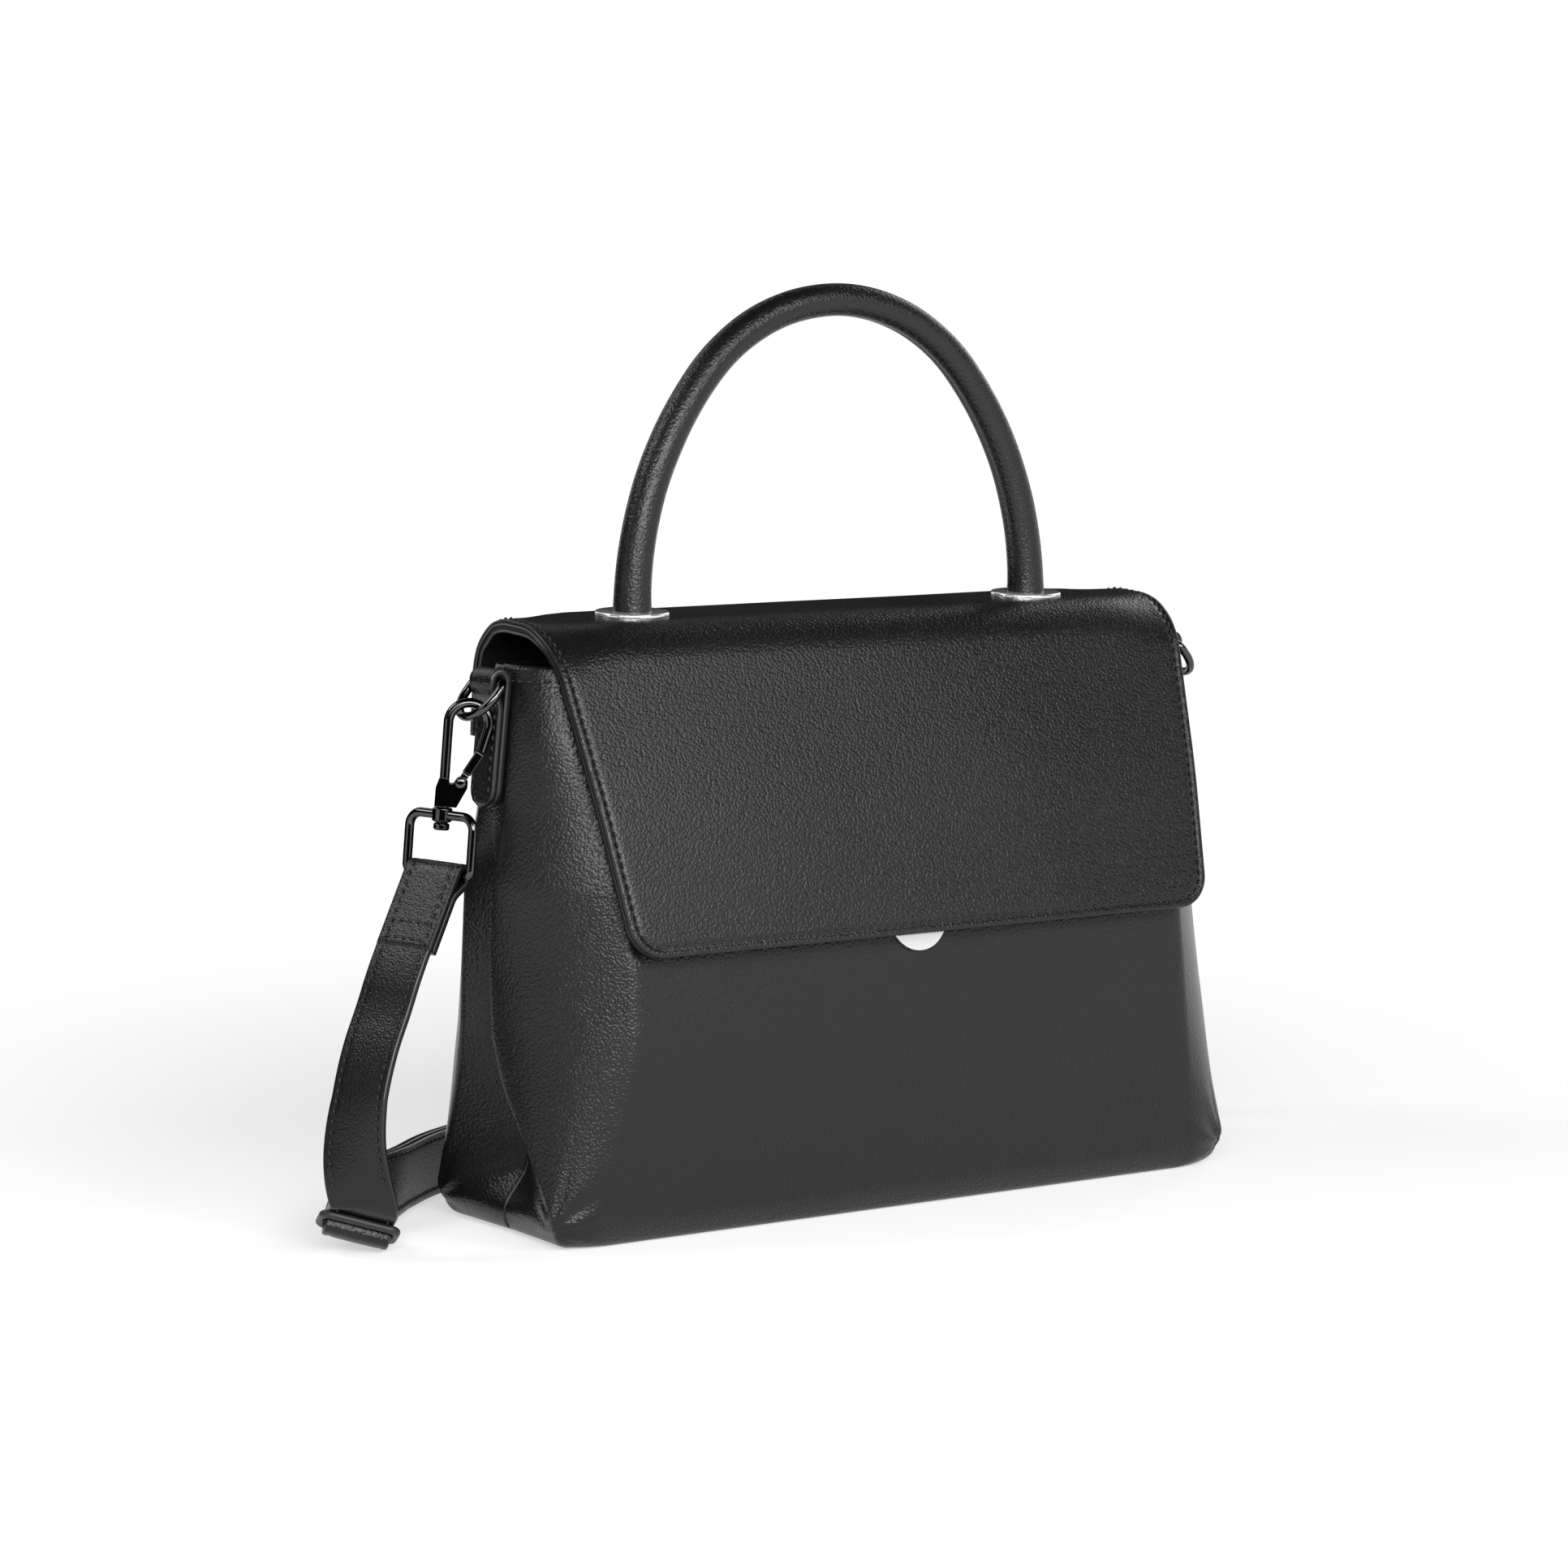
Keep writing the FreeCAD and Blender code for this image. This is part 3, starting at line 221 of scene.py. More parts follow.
BLACK, SOFT_BLACK = (0.0048, 0.0048, 0.0050), (0.0070, 0.0070, 0.0073)
hide = leather("pebbled_leather", BLACK, SOFT_BLACK, 0.32, 1200.0, 1.0)
strap_hide = leather("strap_leather", BLACK, SOFT_BLACK, 0.32, 1400.0, 0.8)
edge_paint = plain("edge_paint", (0.0060, 0.0060, 0.0065), (0.0095, 0.0095, 0.0100), 0.34, 600.0, 0.25)
thread = plain("thread", (0.0025, 0.0025, 0.0027), (0.0045, 0.0045, 0.0048), 0.60, 2500.0, 0.6)
lining_cloth = cloth("lining_cloth", (0.020, 0.020, 0.022), (0.032, 0.032, 0.034), 0.75, WEAVE_PITCH)
gunmetal = metal("dark_metal", (0.065, 0.065, 0.068), (0.085, 0.085, 0.089), 0.08, 120.0)
chrome = metal("bright_metal", (0.80, 0.80, 0.81), (0.86, 0.86, 0.87), 0.12, 60.0, 0.75)
steel = metal("plain_steel", (0.50, 0.50, 0.51), (0.60, 0.60, 0.61), 0.28, 90.0)
slide_black = plain("slide_black", (0.0110, 0.0110, 0.0115), (0.0160, 0.0160, 0.0165), 0.46, 800.0, 0.2)
board_grey = plain("stiff_board", (0.090, 0.085, 0.080), (0.130, 0.125, 0.115), 0.80, 500.0, 0.5,
                   BOARD_GRAIN_DEPTH)
core_plastic = plain("handle_plastic", (0.014, 0.014, 0.015), (0.020, 0.020, 0.021), 0.50, 900.0, 0.2)


HIDE_PAINTS, STRAP_PAINTS = [hide, edge_paint, thread], [strap_hide, edge_paint, thread]


# Meshes


class Build:
    """Points and faces of one piece, with a material for each face."""

    def __init__(self):
        self.points = []
        self.faces = []
        self.paints = []

    def add(self, points, faces, paint=0):
        start = len(self.points)
        self.points += [tuple(p) for p in points]
        self.faces += [tuple(start + i for i in face) for face in faces]
        self.paints += [paint] * len(faces) if isinstance(paint, int) else list(paint)

    def grid(self, rows, paint=0, closed=False):
        """A sheet through rows of points. Closed joins each row's end to its start."""
        wide = len(rows[0])
        faces = []
        for i in range(len(rows) - 1):
            for j in range(wide if closed else wide - 1):
                k = (j + 1) % wide
                faces.append((i * wide + j, i * wide + k, (i + 1) * wide + k, (i + 1) * wide + j))
        self.add([p for row in rows for p in row], faces, paint)

    def piece(self, name, materials, body=None, replaced=(), slot=None, merge=0.0):
        mesh = bpy.data.meshes.new(name)
        mesh.from_pydata(self.points, [], self.faces)
        for material in materials:
            mesh.materials.append(material)
        mesh.polygons.foreach_set("material_index", self.paints)
        mesh.polygons.foreach_set("use_smooth", [True] * len(self.faces))
        if merge:
            work = bmesh.new()
            work.from_mesh(mesh)
            bmesh.ops.remove_doubles(work, verts=work.verts, dist=merge)
            work.to_mesh(mesh)
            work.free()
        mesh.update()
        made = bpy.data.objects.new(name, mesh)
        scene.collection.objects.link(made)
        return dress(made, body, replaced, slot)


def dress(made, body, replaced, slot):
    if body:
        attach(made, body)
    if replaced:
        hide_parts(*replaced)
    return made


def modify(made, kind, **values):
    modifier = made.modifiers.new(kind.title(), kind)
    for key, value in values.items():
        setattr(modifier, key, value)


KEEP_SHARE, BESIDE_SHARE = 0.5, 0.25


def relaxed(values, passes, axis=0):
    """Rows of points, evened out along one axis with both ends kept."""
    values = np.moveaxis(np.array(values, float), axis, 0)
    for _ in range(passes):
        values[1:-1] = KEEP_SHARE * values[1:-1] + BESIDE_SHARE * (values[:-2] + values[2:])
    return np.moveaxis(values, 0, axis)


def full_turn(sides):
    """Even angles round a circle."""
    return [2 * math.pi * i / sides for i in range(sides)]


def circle(middle, first, second, radius, sides):
    """Points round a circle in the plane of two directions."""
    return [middle + (first * math.cos(a) + second * math.sin(a)) * radius for a in full_turn(sides)]


def rectangle(wide, high):
    """The corners of a flat rectangle round the origin, from half its width and height."""
    return [(-wide, -high), (wide, -high), (wide, high), (-wide, high)]


def spun(arm, angle):
    """A flat arm turned about the origin."""
    c, d = math.cos(angle), math.sin(angle)
    return arm.x * c - arm.y * d, arm.x * d + arm.y * c


def swept(centre, arm, turn, steps, count):
    """Points of a flat arc that an arm sweeps, at even parts of its turn."""
    return [centre + Vector(spun(arm, turn * i / steps)) for i in range(count)]


def across_way(width, way):
    """A width made square to a way."""
    return (width - way * width.dot(way)).normalized()


def lengths_along(points):
    """How far each point of a line is from its start."""
    lengths = [0.0]
    for a, b in zip(points, points[1:]):
        lengths.append(lengths[-1] + (b - a).length)
    return lengths


def ways_along(points):
    """The direction of a line at each of its points."""
    last = len(points) - 1
    return [(points[min(i + 1, last)] - points[max(i - 1, 0)]).normalized() for i in range(len(points))]


def smooth(share):
    """A share that starts and ends slowly."""
    return share * share * (3 - 2 * share)


def clamped(share):
    return min(max(share, 0.0), 1.0)


def corner_cut(corner, distance):
    """How much a rounded corner takes off a width, at a distance from the end."""
    if distance >= corner:
        return 0.0
    return corner - math.sqrt(max(corner ** 2 - (corner - distance) ** 2, 0))


# Places of a leather piece's materials: its faces, its painted edge and its thread
FACE_SLOT, EDGE_SLOT, THREAD_SLOT = 0, 1, 2
SIDES = ((-1, "left"), (1, "right"))
STITCH_SIDES, STITCH_RINGS, STITCH_THICK = 6, 4, 1.1 * MM
STITCH_LENGTH_SHARE, STITCH_SLANT_SHARE, END_SWELL_SHARE, DIP_SHARE = 0.78, 0.12, 0.25, 0.55


def stitch(build, middle, along, out, length, paint):
    """One stitch: a rounded thread that dips into the leather at both ends."""
    across = along.cross(out).normalized()
    rows = []
    for ring in range(STITCH_RINGS + 1):
        share = ring / STITCH_RINGS
        swell = max(math.sin(math.pi * share), END_SWELL_SHARE)
        centre = middle + along * ((share - 0.5) * length) + out * (STITCH_THICK * (swell - DIP_SHARE))
        rows.append(circle(centre, across, out, STITCH_THICK * 0.5 * swell, STITCH_SIDES))
    build.grid(rows, paint, closed=True)


def stitch_line(build, points, outs, pitch, paint):
    """Stitches at an even pitch along a line of points on a surface."""
    ways = [b - a for a, b in zip(points, points[1:])]
    reach = 0.0
    due = pitch / 2
    for start, way, first, second in zip(points, ways, outs, outs[1:]):
        while due <= reach + way.length and way.length > 0:
            share = (due - reach) / way.length
            out = lerp(first, second, share).normalized()
            along = (way - out * way.dot(out)).normalized()
            along = (along + out.cross(along) * STITCH_SLANT_SHARE).normalized()
            stitch(build, start + way * share, along, out, pitch * STITCH_LENGTH_SHARE, paint)
            due += pitch
        reach += way.length


# Camera, light and floor


def facing(place, aim):
    """The turn of a camera, lamp or card that looks from a place at an aim."""
    return (Vector(aim) - Vector(place)).to_track_quat("-Z", "Y")


FOCAL_PIXELS, PHOTO_PIXELS, SENSOR = 5850, 1932, 36.0
EYE, AIM = vec(-928.7, -1341.2, 326.0), vec(-24.1, 0.0, 143.7)
camera_data = bpy.data.cameras.new("camera")
camera_data.sensor_width = SENSOR
camera_data.lens = FOCAL_PIXELS / PHOTO_PIXELS * SENSOR
camera = bpy.data.objects.new("camera", camera_data)
camera.location = EYE
camera.rotation_euler = facing(EYE, AIM).to_euler()
scene.collection.objects.link(camera)
scene.camera = camera
scene.view_settings.view_transform = "Standard"


def softbox(name, place, aim, wide, high, power):
    data = bpy.data.lights.new(name, "AREA")
    data.shape = "RECTANGLE"
    data.size = wide
    data.size_y = high
    data.energy = power
    lamp = bpy.data.objects.new(name, data)
    lamp.location = place
    lamp.rotation_euler = facing(place, aim).to_euler()
    scene.collection.objects.link(lamp)


# Where each softbox stands and looks, how wide and high it is in metres, and its power in watts
SOFTBOXES = {
    "key_front": ((-0.42, -1.00, 0.51), (-0.04, 0, 0.12), 0.80, 0.40, 11.0),
    "key_left": ((-0.90, -0.75, 0.50), (-0.10, 0, 0.12), 0.4, 0.5, 2.2),
    "fill_right": ((0.30, -1.06, 0.79), (-0.02, 0, 0.14), 0.6, 0.5, 5.3),
    "side_left": ((-0.85, 0.42, 0.95), (-0.15, 0, 0.12), 0.35, 0.5, 3.1),
    "rim_right": ((1.3, 0.7, 0.75), (0, 0, 0.12), 0.5, 0.8, 2.6),
}
for name, values in SOFTBOXES.items():
    softbox(name, *values)


def flag(name, place, aim_height, wide, high):
    """A dark card that only shows in reflections, to give black leather and metal their contrast."""
    build = Build()
    turn = facing(place, (0, 0, aim_height)).to_matrix()
    corners = [Vector(place) + turn @ Vector((x, y, 0)) for x, y in rectangle(wide / 2, high / 2)]
    build.add(corners, [(0, 1, 2, 3)])
    card = build.piece(name, [flag_paint])
    card.visible_camera = False
    card.visible_diffuse = False
    card.visible_shadow = False


flag_paint, flag_shader = new_material("flag_card", (0.02, 0.02, 0.02), 0.95)
flag_shader.inputs["Specular IOR Level"].default_value = 0.0
# Where each card stands, the height that it faces, and how wide and high it is, in metres
FLAGS = {
    "flag_front_right": ((1.75, -1.9, 1.95), 0.3, 3.6, 2.0),
    "flag_back_right": ((1.5, 2.15, 0.9), 0.3, 2.6, 2.0),
    "flag_back_left": ((-1.9, 1.7, 0.9), 0.3, 2.6, 2.0),
    "flag_left": ((-2.4, -0.9, 1.45), 0.3, 2.6, 2.0),
    "flag_camera": ((-1.5, -2.25, 1.3), 0.2, 1.6, 2.2),
    "flag_top": ((0.2, 0.0, 2.8), 0.1, 4.6, 4.6),
    "flag_low_front": ((-0.58, -0.86, 0.15), 0.15, 1.3, 0.34),
    "flag_low_left": ((-0.55, 0.75, 0.12), 0.12, 1.1, 0.28),
}
for name, values in FLAGS.items():
    flag(name, *values)


def seen_rays(tree):
    """One for rays from the camera, from mirrors and through glass, and zero for the rest."""
    path = tree.nodes.new("ShaderNodeLightPath")
    last = path.outputs["Is Camera Ray"]
    for name in ("Is Glossy Ray", "Is Transmission Ray"):
        both = tree.nodes.new("ShaderNodeMath")
        both.operation = "MAXIMUM"
        tree.links.new(last, both.inputs[0])
        tree.links.new(path.outputs[name], both.inputs[1])
        last = both.outputs["Value"]
    return last


WORLD_LEVEL, FLOOR_COLOUR = 0.12, 0.60
NEAR_LIFT, FAR_LIFT, LIFT_NEAR, LIFT_FAR = 0.55, 0.97, 0.25, 1.0
world = bpy.data.worlds.new("studio")
scene.world = world
world.use_nodes = True
tree = world.node_tree
lit = tree.nodes["Background"]
lit.inputs["Color"].default_value = (1, 1, 1, 1)
lit.inputs["Strength"].default_value = WORLD_LEVEL
white = tree.nodes.new("ShaderNodeBackground")
white.inputs["Color"].default_value = (1, 1, 1, 1)
white.inputs["Strength"].default_value = 1.0
mix = tree.nodes.new("ShaderNodeMixShader")
tree.links.new(seen_rays(tree), mix.inputs[0])
tree.links.new(lit.outputs["Background"], mix.inputs[1])
tree.links.new(white.outputs["Background"], mix.inputs[2])
tree.links.new(mix.outputs["Shader"], tree.nodes["World Output"].inputs["Surface"])

FLOOR_HALF, FLOOR_DROP = 6.0, 0.05 * MM
floor_build = Build()
floor_build.add([(x, y, -FLOOR_DROP) for x, y in rectangle(FLOOR_HALF, FLOOR_HALF)], [(0, 1, 2, 3)])
floor_paint, floor_shader = new_material("pale_floor", (FLOOR_COLOUR,) * 3, 0.9)
floor_shader.inputs["Specular IOR Level"].default_value = 0.0
floor_shader.inputs["Emission Color"].default_value = (1, 1, 1, 1)
away = add_node(floor_paint, "ShaderNodeVectorMath")
away.operation = "LENGTH"
connect(floor_paint, surface_place(floor_paint), away.inputs[0])
spread = add_node(floor_paint, "ShaderNodeMapRange", From_Min=LIFT_NEAR, From_Max=LIFT_FAR, To_Min=NEAR_LIFT,
                  To_Max=FAR_LIFT)
connect(floor_paint, away.outputs["Value"], spread.inputs["Value"])
lift = add_node(floor_paint, "ShaderNodeMath")
lift.operation = "MULTIPLY"
connect(floor_paint, spread.outputs["Result"], lift.inputs[1])
connect(floor_paint, seen_rays(floor_paint.node_tree), lift.inputs[0])
connect(floor_paint, lift.outputs["Value"], floor_shader.inputs["Emission Strength"])
floor = floor_build.piece("floor", [floor_paint])


# Strap: one long strap from the left loop, through the slide, round behind the bag and up to the
# right loop, and back beside itself to the slide's middle bar

STRAP_WIDTH, STRAP_THICK, LAYER_STEP = 22 * MM, 2.4 * MM, 2.7 * MM
SLIDE_MIDDLE = vec(-191.9, -0.1, 8.8)
slide_bars = Vector((0.85, -0.45, -0.27)).normalized()
slide_way = across_way(Vector((0.319, 0.852, -0.416)), slide_bars)
slide_out = slide_way.cross(slide_bars)


def on_slide(along, out):
    """A point beside the slide: along the strap's way, and out from the slide's middle, in mm."""
    return SLIDE_MIDDLE + slide_way * (along * MM) + slide_out * (out * MM)


LEFT_BAR, LEFT_WIDTH = vec(-159.16, 2.675, 122.34), Vector((-0.3567, 0.9336, 0.0312))
LEFT_UP, LEFT_OUT = Vector((0.4863, 0.1573, 0.8598)), Vector((-0.7983, -0.3223, 0.5099))
RIGHT_BAR, RIGHT_WIDTH = vec(148.60, 30.08, 128.93), Vector((-0.3400, 0.8500, 0.4072))
RIGHT_UP = Vector((0.0748, -0.4059, 0.9108))
FOLD_RADIUS = 3.1 * MM
SEWN_LENGTH, TURN_LENGTH = 28 * MM, 11 * MM

slide_width = -slide_bars
rise_top = RIGHT_BAR - RIGHT_UP * TURN_LENGTH
CURVE_STEPS = 14


def route_curve(name, points):
    """A smooth line with the route's points as its control points."""
    data = bpy.data.curves.new(name, "CURVE")
    data.dimensions = "3D"
    data.resolution_u = CURVE_STEPS
    spline = data.splines.new("NURBS")
    spline.points.add(len(points) - 1)
    for control, point in zip(spline.points, points):
        control.co = (*point, 1)
    spline.order_u = 3
    spline.use_endpoint_u = True
    made = bpy.data.objects.new(name, data)
    scene.collection.objects.link(made)
    bpy.context.view_layer.update()
    mesh = bpy.data.meshes.new_from_object(made)
    line = [v.co.copy() for v in mesh.vertices]
    bpy.data.objects.remove(made)
    bpy.data.curves.remove(data)
    bpy.data.meshes.remove(mesh)
    return line


def strap_frames(points, widths, line):
    """The way, width and face directions at each point of a smooth line."""
    last = len(points) - 2
    knots = [0.0] + [i - 0.5 for i in range(1, len(points) - 1)] + [float(last)]
    frames = []
    for index, (point, way) in enumerate(zip(line, ways_along(line))):
        place = last * index / (len(line) - 1)
        width = Vector([float(np.interp(place, knots, [w[axis] for w in widths])) for axis in range(3)])
        across = across_way(width, way)
        frames.append((point, way, across, way.cross(across)))
    return frames


STITCH_INSET, STRAP_PITCH = 2.6 * MM, 3.4 * MM
HALF, THICK, SEWN_SIDE = STRAP_WIDTH / 2, STRAP_THICK / 2, STRAP_WIDTH / 2 - STITCH_INSET
GROOVE, GROOVE_WIDE, CROWN_RISE, EDGE_ROUND = 0.18 * MM, 0.9 * MM, 0.1 * MM, 0.7 * MM
EDGE_SIDE, EDGE_DOWN, EDGE_BELLY, EDGE_HOLLOW = 0.2 * MM, 0.25 * MM, 0.35 * MM, 0.12 * MM
# Half of a face and half of an edge of the strap's section, across and out from its middle
HALF_FACE = [(HALF - EDGE_ROUND, THICK), (SEWN_SIDE + GROOVE_WIDE, THICK), (SEWN_SIDE, THICK - GROOVE),
             (SEWN_SIDE - GROOVE_WIDE, THICK), (HALF / 2, THICK + CROWN_RISE / 2)]
HALF_EDGE = [(EDGE_SIDE - HALF, THICK - EDGE_DOWN), (-HALF, EDGE_BELLY)]
FACE = HALF_FACE + [(0.0, THICK + CROWN_RISE)] + [(-a, b) for a, b in reversed(HALF_FACE)]
SIDE = HALF_EDGE + [(EDGE_HOLLOW - HALF, 0.0)] + [(a, -b) for a, b in reversed(HALF_EDGE)]
SECTION = FACE + SIDE + [(-a, -b) for a, b in FACE + SIDE]
SECTION_SLOTS = ([FACE_SLOT] * (len(FACE) - 1) + [EDGE_SLOT] * (len(SIDE) + 1)) * 2
SEWN_BEND = 25 * MM


def sewn_runs(frames):
    """The stretches of a strap that are straight enough to show their stitching."""
    runs = [[]]
    for before, here, after in zip(frames, frames[1:], frames[2:]):
        if before[1].angle(after[1]) * SEWN_BEND < (after[0] - before[0]).length:
            runs[-1].append(here)
        elif runs[-1]:
            runs.append([])
    return [run for run in runs if len(run) > 2]


def strap_ribbon(build, frames):
    """A strap along its frames, with stitching near both edges of its two faces."""
    rows = []
    for point, way, across, face in frames:
        rows.append([point + face * out + across * side for side, out in SECTION])
    build.grid(rows, SECTION_SLOTS * (len(rows) - 1), closed=True)
    wide = len(SECTION)
    build.add(rows[0], [tuple(reversed(range(wide)))], EDGE_SLOT)
    build.add(rows[-1], [tuple(range(wide))], EDGE_SLOT)
    for run in sewn_runs(frames):
        for sign, side in ((-1, -1), (-1, 1), (1, -1), (1, 1)):
            sewn = side * SEWN_SIDE
            line = [p + face * (sign * (THICK - GROOVE)) + across * sewn for p, way, across, face in run]
            stitch_line(build, line, [face * sign for p, way, across, face in run], STRAP_PITCH, THREAD_SLOT)


def strap_cord(name, points, widths, turn_places, replaced, length):
    """A stretch of the strap between the bodies it joins."""
    path = route_curve(name + "_line", points)
    build = Build()
    strap_ribbon(build, strap_frames(points, widths, path))
    made = build.piece(name, STRAP_PAINTS, None, replaced, "leather_black")
    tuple(turn_places[0])
    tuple(turn_places[1])
    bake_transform(made)
    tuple(path[0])


DROP_LEAD = 9 * MM
drop_start = LEFT_BAR + LEFT_OUT * FOLD_RADIUS - LEFT_UP * SEWN_LENGTH
drop_lead = drop_start - LEFT_UP * DROP_LEAD
drop_points = [drop_start, drop_lead, vec(-184.0, -4.6, 80.5), vec(-190.3, -6.5, 68.5),
               vec(-195.6, -8.5, 53.1), vec(-198.4, -9.8, 38.0), vec(-198.2, -11.6, 26.0),
               on_slide(-14, -2.7)]
drop_twist_shares = [0, 0, 0, 0, 0, 0.3, 0.7, 1]
pass_points = [on_slide(-8.5, -2.7), on_slide(-3.45, -2.7), on_slide(-3.45, 1.0), on_slide(-2.9, 3.9),
               on_slide(2.9, 3.9), on_slide(3.45, 1.0), on_slide(3.45, -2.7), on_slide(8.5, -2.7)]
back_points = [on_slide(8.5, -4.05), on_slide(14, -4.05), vec(-178, 22.5, 10.5), vec(-166.5, 32, 12.5),
               vec(-150, 45.5, 13), vec(-128, 65, 12.6), vec(-100, 80.5, 12), vec(-64, 91.5, 12),
               vec(-22, 95.5, 12), vec(21, 94.5, 12.4), vec(62, 90, 14)]
rise_points = [vec(112, 78.5, 27), vec(135, 66, 48), vec(147, 55, 72), rise_top - RIGHT_UP * STRAP_WIDTH,
               rise_top]
back_twist_shares = [0, 0, 0.35, 0.7] + [1] * (len(back_points) - 4)
rise_twist_shares = [0.1, 0.35, 0.7, 1, 1]
drop_widths = [lerp(LEFT_WIDTH, slide_width, share) for share in drop_twist_shares]
pass_widths = [slide_width] * len(pass_points)
back_widths = [lerp(slide_width, EZ, share) for share in back_twist_shares]
rise_widths = [lerp(EZ, RIGHT_WIDTH, share) for share in rise_twist_shares]


def beside(points, widths, shift):
    """A route moved along the strap's face by a shift."""
    rows = zip(points, widths, ways_along(points))
    return [point + way.cross(across_way(width, way)) * shift for point, width, way in rows]


BEND_SHARE = 0.45
back_end = lerp(back_points[-1], rise_points[0], BEND_SHARE)
whole_points = back_points + [back_end] + rise_points
whole_widths = back_widths + [EZ] + rise_widths
outer_points = beside(whole_points, whole_widths, -LAYER_STEP / 2)
inner_points = beside(whole_points, whole_widths, LAYER_STEP / 2)
split = len(back_points)
anchor_points = [on_slide(-2.4, -5.2), on_slide(2.5, -5.4), on_slide(8.5, -5.4)]
# The left swing's two points lie straight down the drop, from its lead down to a still height.
DROP_STILL, RISE_STILL = 38 * MM, vec(130, 68, 40)
LONG_LENGTH, RISE_LENGTH, RETURN_LENGTH = 0.42, 0.139, 0.445
swing_left = (drop_lead, Vector((drop_lead.x, drop_lead.y, DROP_STILL)))
swing_right = (RISE_STILL, rise_top)

strap_cord("strap_long_run", drop_points + pass_points + outer_points[1:split + 1],
           drop_widths + pass_widths + whole_widths[1:split + 1],
           swing_left, ("strap_drop", "strap_pass", "strap_back_outer"), LONG_LENGTH)
strap_cord("strap_rise_run", outer_points[split:], whole_widths[split:], swing_right,
           ("strap_rise_outer",), RISE_LENGTH)
strap_cord("strap_return_run", anchor_points + inner_points[1:],
           [slide_width] * len(anchor_points) + whole_widths[1:], swing_right,
           ("strap_anchor", "strap_back_inner", "strap_rise_inner"), RETURN_LENGTH)


# Sheets of leather: an outer and an inner face with a rounded, painted edge between them


def loop_of(rows):
    """The points round the border of a sheet, in order."""
    loop = list(rows[0]) + [row[-1] for row in rows[1:]]
    loop += list(reversed(rows[-1][:-1])) + [row[0] for row in reversed(rows[1:-1])]
    return loop


def closed_sheet(build, outer, inner, bulge, edge=EDGE_SLOT):
    """Joins two faces of a sheet by an edge that stands out a little."""
    build.grid(outer, FACE_SLOT)
    build.grid(list(reversed(inner)), FACE_SLOT)
    top, foot = loop_of(outer), loop_of(inner)
    count = len(top)
    middle = []
    for index in range(count):
        along = top[(index + 1) % count] - top[index - 1]
        out = along.cross(top[index] - foot[index])
        if out.length > 0:
            out.normalize()
        middle.append(lerp(foot[index], top[index], 0.5) + out * bulge)
    build.grid([foot, middle, top], edge, closed=True)


WELD = 0.002 * MM


def fillet(before, corner, after, radius, steps):
    """Points of a rounded corner of a flat path."""
    back, on = (before - corner).normalized(), (after - corner).normalized()
    half = back.angle(on) / 2
    centre = corner + (back + on).normalized() * (radius / math.sin(half))
    start = corner + back * (radius / math.tan(half)) - centre
    turn = math.pi - 2 * half
    sign = 1 if back.cross(on) < 0 else -1
    return swept(centre, start, sign * turn, steps, steps + 1)


# Body of the bag: a soft shell through the CAD sections, with its side folds and drawn-in corners

HALF_WIDTH, HALF_DEPTH, BODY_HEIGHT = 147 * MM, 47.5 * MM, 190 * MM
BODY_SHARES = [
    (0.000, 0.912, (0.918, 0.695), (0.898, 0.768), (0.810, 0.789)),
    (0.042, 0.939, (0.956, 0.811), (0.932, 0.863), (0.830, 0.891)),
    (0.111, 0.862, (0.965, 0.674), (0.946, 0.821), (0.823, 0.926)),
    (0.174, 0.857, (0.973, 0.526), (0.935, 0.800), (0.810, 0.958)),
    (0.279, 0.888, (0.992, 0.295), (0.939, 0.705), (0.789, 0.989)),
    (0.363, 0.912, (1.000, 0.200), (0.931, 0.653), (0.776, 1.000)),
    (0.495, 0.935, (1.000, 0.179), (0.912, 0.600), (0.769, 0.958)),
    (0.621, 0.942, (0.993, 0.179), (0.903, 0.589), (0.776, 0.863)),
    (0.747, 0.952, (0.956, 0.168), (0.891, 0.505), (0.782, 0.726)),
    (0.868, 0.939, (0.935, 0.168), (0.888, 0.432), (0.796, 0.568)),
    (1.000, 0.918, (0.915, 0.105), (0.884, 0.284), (0.816, 0.400)),
]
SIDE_STEPS, WRAP_STEPS, FRONT_STEPS = 20, 34, 36
LEVELS = 160


def arc_through(a, middle, b, steps):
    """Points on the circle through three flat points, without the last one."""
    mid_a, mid_b = (a + middle) / 2, (middle + b) / 2
    way_a, way_b = (middle - a).orthogonal(), (b - middle).orthogonal()
    turn = way_a.cross(way_b)
    centre = mid_a + way_a * ((mid_b - mid_a).cross(way_b) / turn)
    first, last = a - centre, b - centre
    sweep = math.atan2(first.cross(last), first.dot(last))
    return swept(centre, first, sweep, steps, steps)


WRAP_EASE_SHARES = ((0.0, 0.3, 1.0), (0.42, 0.36, 0.08))


def quadrant(row):
    """A quarter of one section, from the side fold's valley to the middle of the panel."""
    height, valley, ridge, corner, front = row
    ridge, corner, front = (Vector((p[0] * HALF_WIDTH, p[1] * HALF_DEPTH)) for p in (ridge, corner, front))
    corner = lerp(corner, (ridge + front) / 2, float(np.interp(height, *WRAP_EASE_SHARES)))
    valley, middle = Vector((valley * HALF_WIDTH, 0)), Vector((0, front.y))
    points = [lerp(valley, ridge, i / SIDE_STEPS) for i in range(SIDE_STEPS)]
    points += arc_through(ridge, corner, front, WRAP_STEPS)
    points += [lerp(front, middle, i / FRONT_STEPS) for i in range(FRONT_STEPS + 1)]
    return [(p.x, p.y) for p in points]


